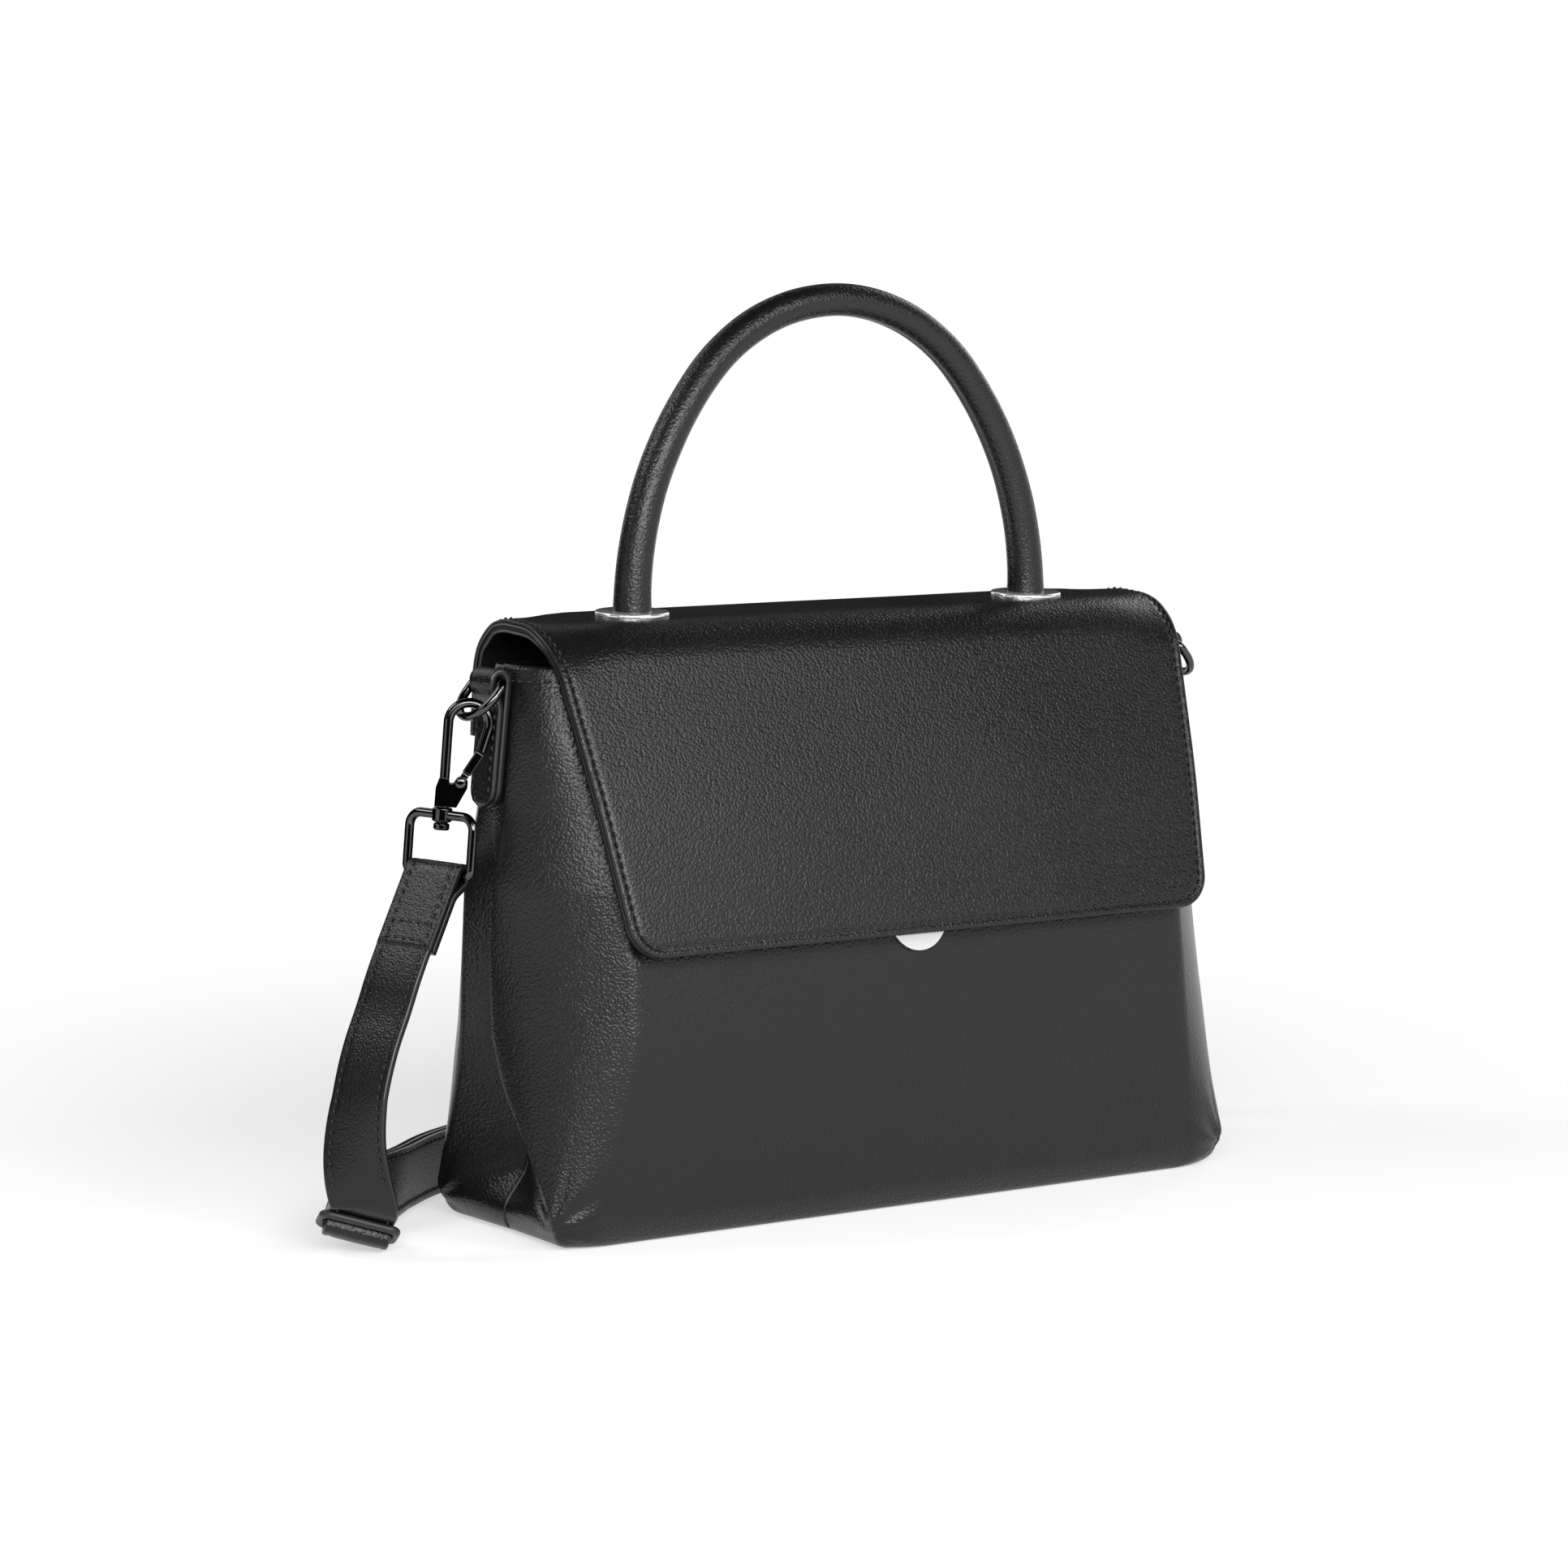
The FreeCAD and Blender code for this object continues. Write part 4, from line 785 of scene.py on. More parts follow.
OUTLINE_PASSES, HEIGHT_PASSES = 1, 6
section_heights = [row[0] * BODY_HEIGHT for row in BODY_SHARES]
sections = relaxed([quadrant(row) for row in BODY_SHARES], OUTLINE_PASSES, axis=1)
level_heights = np.linspace(0, BODY_HEIGHT, LEVELS)
quarter = np.empty((LEVELS, sections.shape[1], 2))
for column in range(sections.shape[1]):
    for axis in range(2):
        quarter[:, column, axis] = np.interp(level_heights, section_heights, sections[:, column, axis])
quarter = relaxed(quarter, HEIGHT_PASSES)


def ring_at(height, inset=0.0):
    """The whole outline at a height, against the clock from the right side fold."""
    place = height / BODY_HEIGHT * (LEVELS - 1)
    low = min(int(place), LEVELS - 2)
    points = lerp(quarter[low], quarter[low + 1], place - low)
    back = [(x, y) for x, y in points]
    half = back + [(-x, y) for x, y in reversed(back[:-1])]
    ring = np.array(half + [(x, -y) for x, y in reversed(half[1:-1])])
    if inset:
        way = np.roll(ring, -1, axis=0) - np.roll(ring, 1, axis=0)
        way /= np.linalg.norm(way, axis=1)[:, None]
        ring = ring + np.stack([-way[:, 1], way[:, 0]], axis=1) * inset
    return [Vector((x, y, height)) for x, y in ring]


def shrunk(ring, share, height):
    return [Vector((p.x * share, p.y * share, height)) for p in ring]


FLOOR_SHARES = [0.2, 0.4, 0.6, 0.75, 0.85, 0.91, 0.95, 0.98]
EDGE_PASSES, EDGE_ROWS, EDGE_FLOOR_ROWS, TINY = 5, 26, 4, 1e-12
CORNER_SIGNS = [(sx, sy) for sx in (-1, 1) for sy in (-1, 1)]
PINCHES = [vec(sx * 141, sy * 38, 7) for sx, sy in CORNER_SIGNS]
PINCH_REACH, PINCH_PITCH, PINCH_DEPTH, PINCH_FOLDS, PINCH_SPAN_SHARE = 17 * MM, 7.5 * MM, 0.8 * MM, 9, 3
DIMPLES = [vec(sx * 139.2, sy * 40, 5.2) for sx, sy in CORNER_SIGNS]
DIMPLE_REACH, DIMPLE_DEPTH = 3 * MM, 3.0 * MM
SLOW_WAVE, QUICK_WAVE, SLOW_DEPTH, QUICK_DEPTH = 13.0, 42.0, 0.75 * MM, 0.2 * MM
RIM_FADE = 12 * MM


def softness(point):
    """How far the leather stands in or out at a point: slow waves, and gathers at the base corners."""
    fade = min(point.z, BODY_HEIGHT - point.z, RIM_FADE) / RIM_FADE
    depth = noise.noise(point * SLOW_WAVE) * SLOW_DEPTH + noise.noise(point * QUICK_WAVE) * QUICK_DEPTH
    for pinch, dimple in zip(PINCHES, DIMPLES):
        away = point - pinch
        spread = away.length
        if spread < PINCH_SPAN_SHARE * PINCH_REACH:
            turn = math.atan2(away.z, Vector((away.x, away.y)).length * (1 if away.y * pinch.y < 0 else -1))
            ripple = math.cos(turn * PINCH_FOLDS) * min(spread / PINCH_PITCH, 1)
            depth += PINCH_DEPTH * ripple * math.exp(-(spread / PINCH_REACH) ** 2)
            depth -= DIMPLE_DEPTH * math.exp(-((point - dimple).length / DIMPLE_REACH) ** 2)
    return depth * fade


def shell_rows():
    ring = ring_at(0.0)
    rows = [shrunk(ring, share, 0.0) for share in FLOOR_SHARES]
    rows += [ring_at(z) for z in level_heights]
    start = len(FLOOR_SHARES) - EDGE_FLOOR_ROWS
    table = np.array([[tuple(p) for p in row] for row in rows])
    table[start:start + EDGE_ROWS] = relaxed(table[start:start + EDGE_ROWS], EDGE_PASSES)
    along = np.roll(table, -1, axis=1) - np.roll(table, 1, axis=1)
    up = np.gradient(table, axis=0)
    normal = np.cross(along, up)
    normal /= np.linalg.norm(normal, axis=2)[:, :, None] + TINY
    moved = []
    for row, ways in zip(table, normal):
        moved.append([Vector(p) + Vector(n) * softness(Vector(p)) for p, n in zip(row, ways)])
    return moved


def floored(build, rows):
    """A ring of walls and a floor, closed in the middle of the floor."""
    build.grid(rows, closed=True)
    build.add(rows[0], [tuple(reversed(range(len(rows[0]))))])


shell_table = shell_rows()
shell = Build()
floored(shell, shell_table)
LEATHER = 2.2 * MM
bag_shell = shell.piece("bag_shell", [hide, edge_paint], "bag", ("front_panel", "back_panel"),
                        "leather_black", WELD)
modify(bag_shell, "SOLIDIFY", thickness=LEATHER, offset=-1, material_offset_rim=EDGE_SLOT)


def level_row(height):
    """The shell's row of points nearest to a height."""
    return shell_table[len(FLOOR_SHARES) + round(height / BODY_HEIGHT * (LEVELS - 1))]


RIM_SEWN, RIM_PITCH = 185.2 * MM, 3.4 * MM
rim_row = level_row(RIM_SEWN)
rim_outs = []
for index, spot in enumerate(rim_row):
    way = rim_row[(index + 1) % len(rim_row)] - rim_row[index - 1]
    rim_outs.append(Vector((way.y, -way.x, 0)).normalized())
rim_stitches = Build()
stitch_line(rim_stitches, rim_row + rim_row[:1], rim_outs + rim_outs[:1], RIM_PITCH, FACE_SLOT)
rim_stitches.piece("rim_stitches", [thread], "bag", (), "leather_black")


def inner_piece(name, low, high, inset, thick, steps, material, node, slot, with_floor=False):
    """A layer inside the shell, with a floor where it has one."""
    build = Build()
    rows = [ring_at(lerp(low, high, i / steps), inset) for i in range(steps + 1)]
    if with_floor:
        floored(build, [shrunk(rows[0], share, low) for share in FLOOR_SHARES] + rows)
    else:
        build.grid(rows, closed=True)
    made = build.piece(name, [material], "bag", (node,), slot, WELD)
    modify(made, "SOLIDIFY", thickness=thick, offset=-1)


# Foot, top, inset, thickness and steps of each layer
LINING_SIZES = (4.5 * MM, 164.7 * MM, 2.6 * MM, 0.8 * MM, 60)
BAND_SIZES = (165 * MM, BODY_HEIGHT, 2.5 * MM, 1.4 * MM, 14)
inner_piece("cloth_lining", *LINING_SIZES, lining_cloth, "lining", "lining_cloth", True)
inner_piece("mouth_band", *BAND_SIZES, hide, "mouth_facing", "leather_black")


# Flap: rows along its folded profile, in front, over the crest and down the back

# Corners of the flap's profile from the hinge to the front edge, as Y and Z in mm
FLAP_HINGE, CREST_BACK, CREST_FRONT = (32.48, 164.0), (28.7, 205.7), (-20.3, 202.8)
FLAP_BEND, FLAP_FOOT = (-41.97, 143.5), (-55.56, 97.5)
FLAP_PATH = [Vector(p) * MM for p in (FLAP_HINGE, CREST_BACK, CREST_FRONT, FLAP_BEND, FLAP_FOOT)]
FLAP_RADII = [13 * MM, 20 * MM, 350 * MM]
END_RADII = [22 * MM, 29 * MM, 350 * MM]
FLAP_HALF, FLAP_FOOT_HALF, FLAP_CORNER = 129.5 * MM, 118 * MM, 11 * MM
ROW_STEP, FILLET_STEPS = 1.6 * MM, 24
CORNER_STEPS, CORNER_LEAD_SHARE = 14, 1.05


def flap_profile(radii):
    """Points of the flap's outer face in the Y-Z plane, from the hinge to its front edge."""
    points = [FLAP_PATH[0]]
    for index, radius in enumerate(radii, start=1):
        points += fillet(*FLAP_PATH[index - 1:index + 2], radius, FILLET_STEPS)
    foot = FLAP_PATH[-1]
    way = (points[-1] - foot).normalized()
    points.append(foot + way * (FLAP_CORNER * CORNER_LEAD_SHARE))
    dense = [points[0]]
    for a, b in zip(points, points[1:]):
        steps = max(1, round((b - a).length / ROW_STEP))
        dense += [lerp(a, b, i / steps) for i in range(1, steps + 1)]
    for index in reversed(range(CORNER_STEPS)):
        lift = FLAP_CORNER * (1 - math.cos(math.pi / 2 * index / CORNER_STEPS))
        dense.append(foot + way * lift)
    return dense


profile = flap_profile(FLAP_RADII)
profile_outs = [Vector((way.y, -way.x)) for way in ways_along(profile)]
to_edge = lengths_along(profile[::-1])[::-1]
FRONT_CREST_Z, FOOT_Z = CREST_FRONT[1] * MM, FLAP_FOOT[1] * MM
CREST_START = 101 * MM


def crest_drops():
    """How far inside the middle's profile the rounder crest of the flap's ends lies, at each row."""
    rounder = flap_profile(END_RADII)
    drops = []
    for spot in profile:
        gaps = []
        for a, b in zip(rounder, rounder[1:]):
            near, share = intersect_point_line(spot, a, b)
            gaps.append((spot - lerp(a, b, clamped(share))).length)
        drops.append(min(gaps))
    return drops


crest_drop = crest_drops()


def end_share(x):
    """Zero in the middle of the flap, and one at its two ends."""
    return smooth(clamped((abs(x) - CREST_START) / (FLAP_HALF - CREST_START)))


def flap_half(index):
    """Half the flap's width at a row, before its corners are rounded."""
    y, z = profile[index]
    if y > 0:
        return FLAP_HALF
    return lerp(FLAP_FOOT_HALF, FLAP_HALF, min((z - FOOT_Z) / (FRONT_CREST_Z - FOOT_Z), 1))


def edge_distance(index, x):
    """How far a point of the flap is from its nearest side or front edge."""
    side, foot = flap_half(index) - abs(x), to_edge[index]
    if side < FLAP_CORNER and foot < FLAP_CORNER:
        return FLAP_CORNER - math.hypot(FLAP_CORNER - side, FLAP_CORNER - foot)
    return min(side, foot)


EDGE_STEPS = [0.0, 0.35, 0.8, 1.3, 1.8, 2.2, 2.6, 3.0, 3.4, 4.2, 5.5, 7.5, 10.5, 15.0, 21.0, 29.0]
MIDDLE_STEPS = 40
SEWN_INSET, SEWN_DEPTH, SEWN_WIDTH = 2.6 * MM, 0.45 * MM, 0.8 * MM
ROLL_DEPTH, ROLL_WIDTH, FLAP_WAVE, FLAP_BULGE = 0.30 * MM, 0.5 * MM, 0.35 * MM, 0.15 * MM


def flap_columns(index, inset):
    half = flap_half(index) - corner_cut(FLAP_CORNER, to_edge[index]) - inset
    side = [half - step * MM for step in EDGE_STEPS]
    inner = side[-1]
    middle = [inner * (1 - 2 * i / MIDDLE_STEPS) for i in range(1, MIDDLE_STEPS)]
    return side + middle + [-x for x in reversed(side)]


def flap_point(index, x, depth):
    spot = profile[index] - profile_outs[index] * (depth + crest_drop[index] * end_share(x))
    return Vector((x, spot.x, spot.y))


def flap_dress(index, x):
    """The sewn groove, the rolled edge and the slow waves of the flap's face."""
    away = edge_distance(index, x)
    depth = SEWN_DEPTH * math.exp(-((away - SEWN_INSET) / SEWN_WIDTH) ** 2)
    depth += ROLL_DEPTH * math.exp(-max(away, 0) / ROLL_WIDTH)
    wave = noise.noise(flap_point(index, x, 0) * SLOW_WAVE) * FLAP_WAVE
    return depth + wave * min(away / RIM_FADE, 1)


def flap_sheet(build, face_depth, back_depth, inset, edge=EDGE_SLOT):
    rows = [i for i in range(len(profile)) if to_edge[i] >= inset]
    outer = [[flap_point(i, x, face_depth(i, x)) for x in flap_columns(i, inset)] for i in rows]
    inner = [[flap_point(i, x, back_depth) for x in flap_columns(i, inset)] for i in rows]
    closed_sheet(build, outer, inner, FLAP_BULGE, edge)


FLAP_PITCH, FOOT_SEWN_STEPS = 3.5 * MM, 60
FACE_DEPTH, BACK_DEPTH = 2.2 * MM, 4.5 * MM
BOARD_DEPTHS, BOARD_INSET = (2.24 * MM, 2.74 * MM), 6 * MM
flap_build = Build()
flap_sheet(flap_build, flap_dress, FACE_DEPTH, 0.0)


def sewn_path():
    """The line of stitching round the flap, from the hinge at the right to the hinge at the left."""
    spots = []
    for index in range(len(profile)):
        if to_edge[index] >= FLAP_CORNER:
            spots.append((index, flap_half(index) - SEWN_INSET))
    corner = FLAP_CORNER - SEWN_INSET
    foot_rows = [i for i in range(len(profile)) if SEWN_INSET <= to_edge[i] < FLAP_CORNER]
    for index in foot_rows:
        drop = FLAP_CORNER - to_edge[index]
        spots.append((index, flap_half(index) - FLAP_CORNER + math.sqrt(max(corner ** 2 - drop ** 2, 0))))
    last, reach = spots[-1]
    line = spots + [(last, reach * (1 - 2 * i / FOOT_SEWN_STEPS)) for i in range(1, FOOT_SEWN_STEPS)]
    return line + [(index, -x) for index, x in reversed(spots)]


sewn = sewn_path()
stitch_line(flap_build, [flap_point(i, x, SEWN_DEPTH) for i, x in sewn],
            [Vector((0, profile_outs[i].x, profile_outs[i].y)) for i, x in sewn], FLAP_PITCH, THREAD_SLOT)
flap_build.piece("flap_leather", HIDE_PAINTS, "flap", ("flap_outer",), "leather_black", WELD)

BACKING_INSET, BOARD_ROOM, BACKING_GAP, BOARD_GAP = 0.3 * MM, 5.6 * MM, 0.1 * MM, 0.04 * MM


def backing_depth(index, x):
    """The backing meets the leather at the sewn edge, and leaves room for the stiffener inside it."""
    if edge_distance(index, x) < BOARD_ROOM:
        return FACE_DEPTH + BACKING_GAP
    return BOARD_DEPTHS[1] + BOARD_GAP


backing = Build()
flap_sheet(backing, backing_depth, BACK_DEPTH, BACKING_INSET)
backing.piece("flap_backing", [hide, edge_paint], "flap", ("flap_lining",), "leather_black", WELD)


def board_face(index, x):
    return BOARD_DEPTHS[0]


stiffener = Build()
flap_sheet(stiffener, board_face, BOARD_DEPTHS[1], BOARD_INSET, FACE_SLOT)
stiffener.piece("flap_stiffener", [board_grey], "flap", ("flap_board",), "stiff_board", WELD)


MAGNET_RISE, MAGNET_DEPTH, MAGNET_EASE, DISC_SIDES = 8 * MM, 6.6 * MM, 0.5 * MM, 48
MAGNET_RADIUS, SEAT_RADIUS, SEAT_RISE = 6.8 * MM, 7.6 * MM, 0.35 * MM
DISC_EASE_SHARE, CENTRE_SHARE = 0.3, 0.02
magnet_row = min(range(len(profile)), key=lambda i: abs(to_edge[i] - MAGNET_RISE))


def flap_disc(name, node, radius, depth):
    """A round plate on the back of the flap, down to a depth under the flap's face."""
    out = Vector((0, *profile_outs[magnet_row]))
    upright = out.cross(EX)
    ease = min(MAGNET_EASE, (depth - BACK_DEPTH) / 2)
    step = ease * DISC_EASE_SHARE
    outline = ((radius, BACK_DEPTH - WELD), (radius, depth - ease), (radius - step, depth - step),
               (radius - ease, depth), (radius * CENTRE_SHARE, depth))
    rows = []
    for reach, level in outline:
        rows.append(circle(flap_point(magnet_row, 0.0, level), EX, upright, reach, DISC_SIDES))
    plate = Build()
    plate.grid(rows, closed=True)
    plate.piece(name, [steel], "flap", (node,), "plain_steel")


flap_disc("magnet_seat", "flap_magnet_washer", SEAT_RADIUS, BACK_DEPTH + SEAT_RISE)
flap_disc("magnet_disc", "flap_magnet", MAGNET_RADIUS, MAGNET_DEPTH)


# Handle: a leather-covered arch with its seam on the inner side, on two oval plates

HANDLE_SPAN, HANDLE_Y, HANDLE_FOOT = 82.4 * MM, 4.7 * MM, 205.48 * MM
HANDLE_RISE, HANDLE_TOP_RADIUS = 103.2 * MM, 70 * MM
FOOT_RADIUS = ((HANDLE_SPAN ** 2 + (HANDLE_RISE - HANDLE_TOP_RADIUS) ** 2 - HANDLE_TOP_RADIUS ** 2)
               / (2 * (HANDLE_SPAN - HANDLE_TOP_RADIUS)))
ARCH_STEPS, TUBE_SIDES = 70, 40
TOP_TUBE, FOOT_TUBE, FLARE_REACH = 5.7 * MM, 6.15 * MM, 10 * MM
FLARE, SEAM_DEPTH, SEAM_WIDTH = 0.45 * MM, 0.55 * MM, 0.16
TUBE_WAVE, TUBE_WAVE_DEPTH = 60, 0.12 * MM
ROOF_SLOPE = (CREST_BACK[1] - CREST_FRONT[1]) / (CREST_BACK[0] - CREST_FRONT[0])


def handle_line():
    """Points and ways of the arch, from the right foot to the left one."""
    join = math.atan2(HANDLE_RISE - HANDLE_TOP_RADIUS, FOOT_RADIUS - HANDLE_SPAN)
    half = []
    for index in range(ARCH_STEPS + 1):
        turn = join * index / ARCH_STEPS
        x = HANDLE_SPAN - FOOT_RADIUS + FOOT_RADIUS * math.cos(turn)
        half.append((x, FOOT_RADIUS * math.sin(turn), turn))
    for index in range(1, ARCH_STEPS + 1):
        turn = lerp(join, math.pi / 2, index / ARCH_STEPS)
        z = HANDLE_RISE - HANDLE_TOP_RADIUS + HANDLE_TOP_RADIUS * math.sin(turn)
        half.append((HANDLE_TOP_RADIUS * math.cos(turn), z, turn))
    return half + [(-x, z, math.pi - turn) for x, z, turn in reversed(half[:-1])]


handle_build = Build()
handle_rows = []
for x, rise, turn in handle_line():
    out = Vector((math.cos(turn), 0, math.sin(turn)))
    radius = lerp(FOOT_TUBE, TOP_TUBE, min(rise / HANDLE_RISE, 1)) + FLARE * math.exp(-rise / FLARE_REACH)
    spot = Vector((x, HANDLE_Y, HANDLE_FOOT + rise))
    row = []
    for angle in full_turn(TUBE_SIDES):
        seam = SEAM_DEPTH * math.exp(-(((angle - math.pi) / SEAM_WIDTH) ** 2))
        spread = out * math.cos(angle) - EY * math.sin(angle)
        wave = noise.noise((spot + spread * radius) * TUBE_WAVE) * TUBE_WAVE_DEPTH
        point = spot + spread * (radius - seam + wave)
        if rise < FLARE_REACH:
            point.z += (point.y - HANDLE_Y) * ROOF_SLOPE * (1 - rise / FLARE_REACH)
        row.append(point)
    handle_rows.append(row)
handle_build.grid(handle_rows, closed=True)
handle_build.piece("handle_leather", [hide], "flap", ("handle_cover",), "leather_black")


PLATE_LONG, PLATE_SHORT, PLATE_THICK, PLATE_SIDES, ROOF_Z = 13 * MM, 11.5 * MM, 1.2 * MM, 64, 204.28 * MM
PLATE_SHARES = [(1.0, 0.0), (1.0, 0.55), (0.992, 0.8), (0.972, 0.95), (0.94, 1.0), (0.4, 1.0),
                (CENTRE_SHARE, 1.0)]
roof_up = Vector((0, -ROOF_SLOPE, 1)).normalized()
roof_back = roof_up.cross(EX)
for sign, side in SIDES:
    plate = Build()
    rows = []
    middle = Vector((sign * HANDLE_SPAN, HANDLE_Y, ROOF_Z))
    for wide_share, rise_share in PLATE_SHARES:
        foot = middle + roof_up * (PLATE_THICK * rise_share)
        rows.append([foot + EX * (PLATE_LONG * wide_share * math.cos(a))
                     + roof_back * (PLATE_SHORT * wide_share * math.sin(a)) for a in full_turn(PLATE_SIDES)])
    plate.grid(rows, closed=True)
    plate.piece("plate_metal_" + side, [chrome], "flap", ("handle_plate_" + side,), "bright_metal")


# Ring tabs, the strap's sewn end and its turn: strips folded over a bar

FOLD_STEPS, LEG_STEPS, TAPER_STEPS = 14, 16, 8


def half_turn(radius):
    """Points of the bend over a bar at the origin."""
    angles = [math.pi * (1 - i / FOLD_STEPS) for i in range(FOLD_STEPS + 1)]
    return [Vector((radius * math.cos(a), radius * math.sin(a))) for a in angles]


def folded_line(inner, thick, length, taper):
    """The middle of a strip folded over a bar at the origin, from its straight leg to its turned one."""
    middle, closed = inner + thick / 2, thick / 2 - inner
    points = [Vector((-middle, -length * (1 - i / LEG_STEPS))) for i in range(LEG_STEPS)]
    points += half_turn(middle)
    for index in range(1, TAPER_STEPS + 1):
        share = index / TAPER_STEPS
        points.append(Vector((lerp(middle, closed, smooth(share)), -taper * share)))
    points += [Vector((closed, lerp(-taper, -length, i / LEG_STEPS))) for i in range(1, LEG_STEPS + 1)]
    return points


HALF_STRIP_SHARES = [1.0, 0.97, 0.91, 0.82, 0.74, 0.66, 0.56, 0.4, 0.2]
STRIP_SHARES = HALF_STRIP_SHARES + [0.0] + [-x for x in reversed(HALF_STRIP_SHARES)]
STRIP_SEWN_SHARE, STRIP_GROOVE_SHARE, STRIP_EDGE_SHARE = 0.74, 0.07, 0.04
STRIP_EDGE_DIP, STRIP_SEWN_DIP, STRIP_BULGE = 0.25 * MM, 0.2 * MM, 0.12 * MM


def folded_piece(build, line, place, half, thick, corner, groove, runs):
    """A folded strip with painted edges, sewn grooves, corners of a given radius and stitched runs."""
    outs = [Vector((-way.y, way.x)) for way in ways_along(line)]
    reach = lengths_along(line)
    outer, inner = [], []
    for spot, out, run in zip(line, outs, reach):
        wide = half - corner_cut(corner, min(run, reach[-1] - run))
        top, foot = [], []
        for share in STRIP_SHARES:
            dip = groove * math.exp(-(((abs(share) - STRIP_SEWN_SHARE) / STRIP_GROOVE_SHARE) ** 2))
            dip += STRIP_EDGE_DIP * math.exp(-(1 - abs(share)) / STRIP_EDGE_SHARE)
            top.append(place(spot + out * (thick / 2 - dip), -wide * share))
            foot.append(place(spot - out * (thick / 2), -wide * share))
        outer.append(top)
        inner.append(foot)
    closed_sheet(build, outer, inner, STRIP_BULGE)
    lift = thick / 2 - STRIP_SEWN_DIP
    for first, last in runs:
        sewn = list(zip(line, outs))[first:last]
        ways = [(place(p + o * MM, 0.0) - place(p, 0.0)).normalized() for p, o in sewn]
        for side in (-1, 1):
            spots = [place(p + o * lift, side * half * STRIP_SEWN_SHARE) for p, o in sewn]
            stitch_line(build, spots, ways, STRAP_PITCH, THREAD_SLOT)


RING_X, RING_Z, TAB_LEAN = 140.36 * MM, 185.324 * MM, math.radians(6)
TAB_INNER, TAB_THICK, TAB_LENGTH, TAB_TAPER = 1.95 * MM, 2.2 * MM, 42 * MM, 10 * MM
TAB_HALF, TAB_CORNER, TAB_GROOVE, TAB_SEWN_END = 7 * MM, 6.5 * MM, 0.2 * MM, 3


def tab_place(sign):
    def place(flat, across):
        x, z = spun(flat, TAB_LEAN)
        return Vector((sign * (RING_X + x), sign * across, RING_Z + z))
    return place


tab_line = folded_line(TAB_INNER, TAB_THICK, TAB_LENGTH, TAB_TAPER)
tab_runs = [(LEG_STEPS + FOLD_STEPS + TAPER_STEPS, len(tab_line) - TAB_SEWN_END)]
for sign, side in SIDES:
    tab = Build()
    folded_piece(tab, tab_line, tab_place(sign), TAB_HALF, TAB_THICK, TAB_CORNER, TAB_GROOVE, tab_runs)
    tab.piece("tab_leather_" + side, STRAP_PAINTS, "bag", ("ring_tab_" + side,), "leather_black", WELD)


def bar_place(bar, out, up, width):
    def place(flat, across):
        return bar + out * flat.x + up * flat.y + width * across
    return place


END_INNER, END_TAPER, END_GROOVE, SEWN_OVER, SEWN_AFTER = 1.9 * MM, 9 * MM, 0.15 * MM, 4, 2
CROSS_DROPS, CROSS_STEPS, CROSS_INSET_SHARE, CROSS_SHARE = (19 * MM, 25 * MM), 10, 0.14, 0.72
CROSS_SINK, CROSS_BACK = 0.1 * MM, 0.5 * MM
left_place = bar_place(LEFT_BAR, -LEFT_OUT, LEFT_UP, LEFT_WIDTH)
end_build = Build()
end_line = folded_line(END_INNER, STRAP_THICK, SEWN_LENGTH, END_TAPER)
end_runs = [(0, LEG_STEPS + SEWN_OVER), (LEG_STEPS + FOLD_STEPS + SEWN_AFTER, len(end_line))]
folded_piece(end_build, end_line, left_place, HALF, STRAP_THICK, 0.0, END_GROOVE, end_runs)
cross_shares = [CROSS_INSET_SHARE + CROSS_SHARE * i / CROSS_STEPS for i in range(CROSS_STEPS + 1)]
for drop in CROSS_DROPS:
    for x, way in ((-FOLD_RADIUS - THICK + CROSS_SINK, LEFT_OUT), (CROSS_BACK, -LEFT_OUT)):
        row = [left_place(Vector((x, -drop)), lerp(-HALF, HALF, share)) for share in cross_shares]
        stitch_line(end_build, row, [way] * len(row), STRAP_PITCH, THREAD_SLOT)
end_build.piece("strap_sewn_end", STRAP_PAINTS, "loop_left", ("strap_end_left",), "leather_black", WELD)

RIGHT_OUT = RIGHT_WIDTH.cross(RIGHT_UP).normalized()
right_place = bar_place(RIGHT_BAR, RIGHT_OUT, RIGHT_UP, RIGHT_WIDTH)
turn_build = Build()
apart = LAYER_STEP / 2
leg_shares = [i / TAPER_STEPS for i in range(TAPER_STEPS + 1)]
turn_line = [Vector((lerp(-apart, -FOLD_RADIUS, s), -TURN_LENGTH * (1 - s))) for s in leg_shares[:-1]]
turn_line += half_turn(FOLD_RADIUS)
turn_line += [Vector((lerp(FOLD_RADIUS, apart, s), -TURN_LENGTH * s)) for s in leg_shares[1:]]
turn_runs = [(0, len(turn_line))]
folded_piece(turn_build, turn_line, right_place, HALF, STRAP_THICK, 0.0, END_GROOVE, turn_runs)
turn_build.piece("strap_turn", STRAP_PAINTS, "loop_right", ("strap_turn_right",), "leather_black", WELD)


# The flap's sewn tail on the back panel, and the welted seam in each side's base facet

TAIL_HALF, TAIL_TOP, TAIL_FOOT, TAIL_CORNER = 116 * MM, 163.4 * MM, 150 * MM, 7 * MM
TAIL_STEPS, TAIL_COLUMNS, TAIL_SEWN_ROW, TAIL_SEWN_STEPS = 14, 80, 11, 60
TAIL_GAP, TAIL_OUT, TAIL_TOP_OUT, TAIL_BULGE = 0.3 * MM, 2.7 * MM, 32.3 * MM, 0.1 * MM
TAIL_DIP, TAIL_DIP_REACH, TAIL_SEWN_RISE, TAIL_SEWN_INSET = 0.2 * MM, 0.6 * MM, 3.2 * MM, 5 * MM


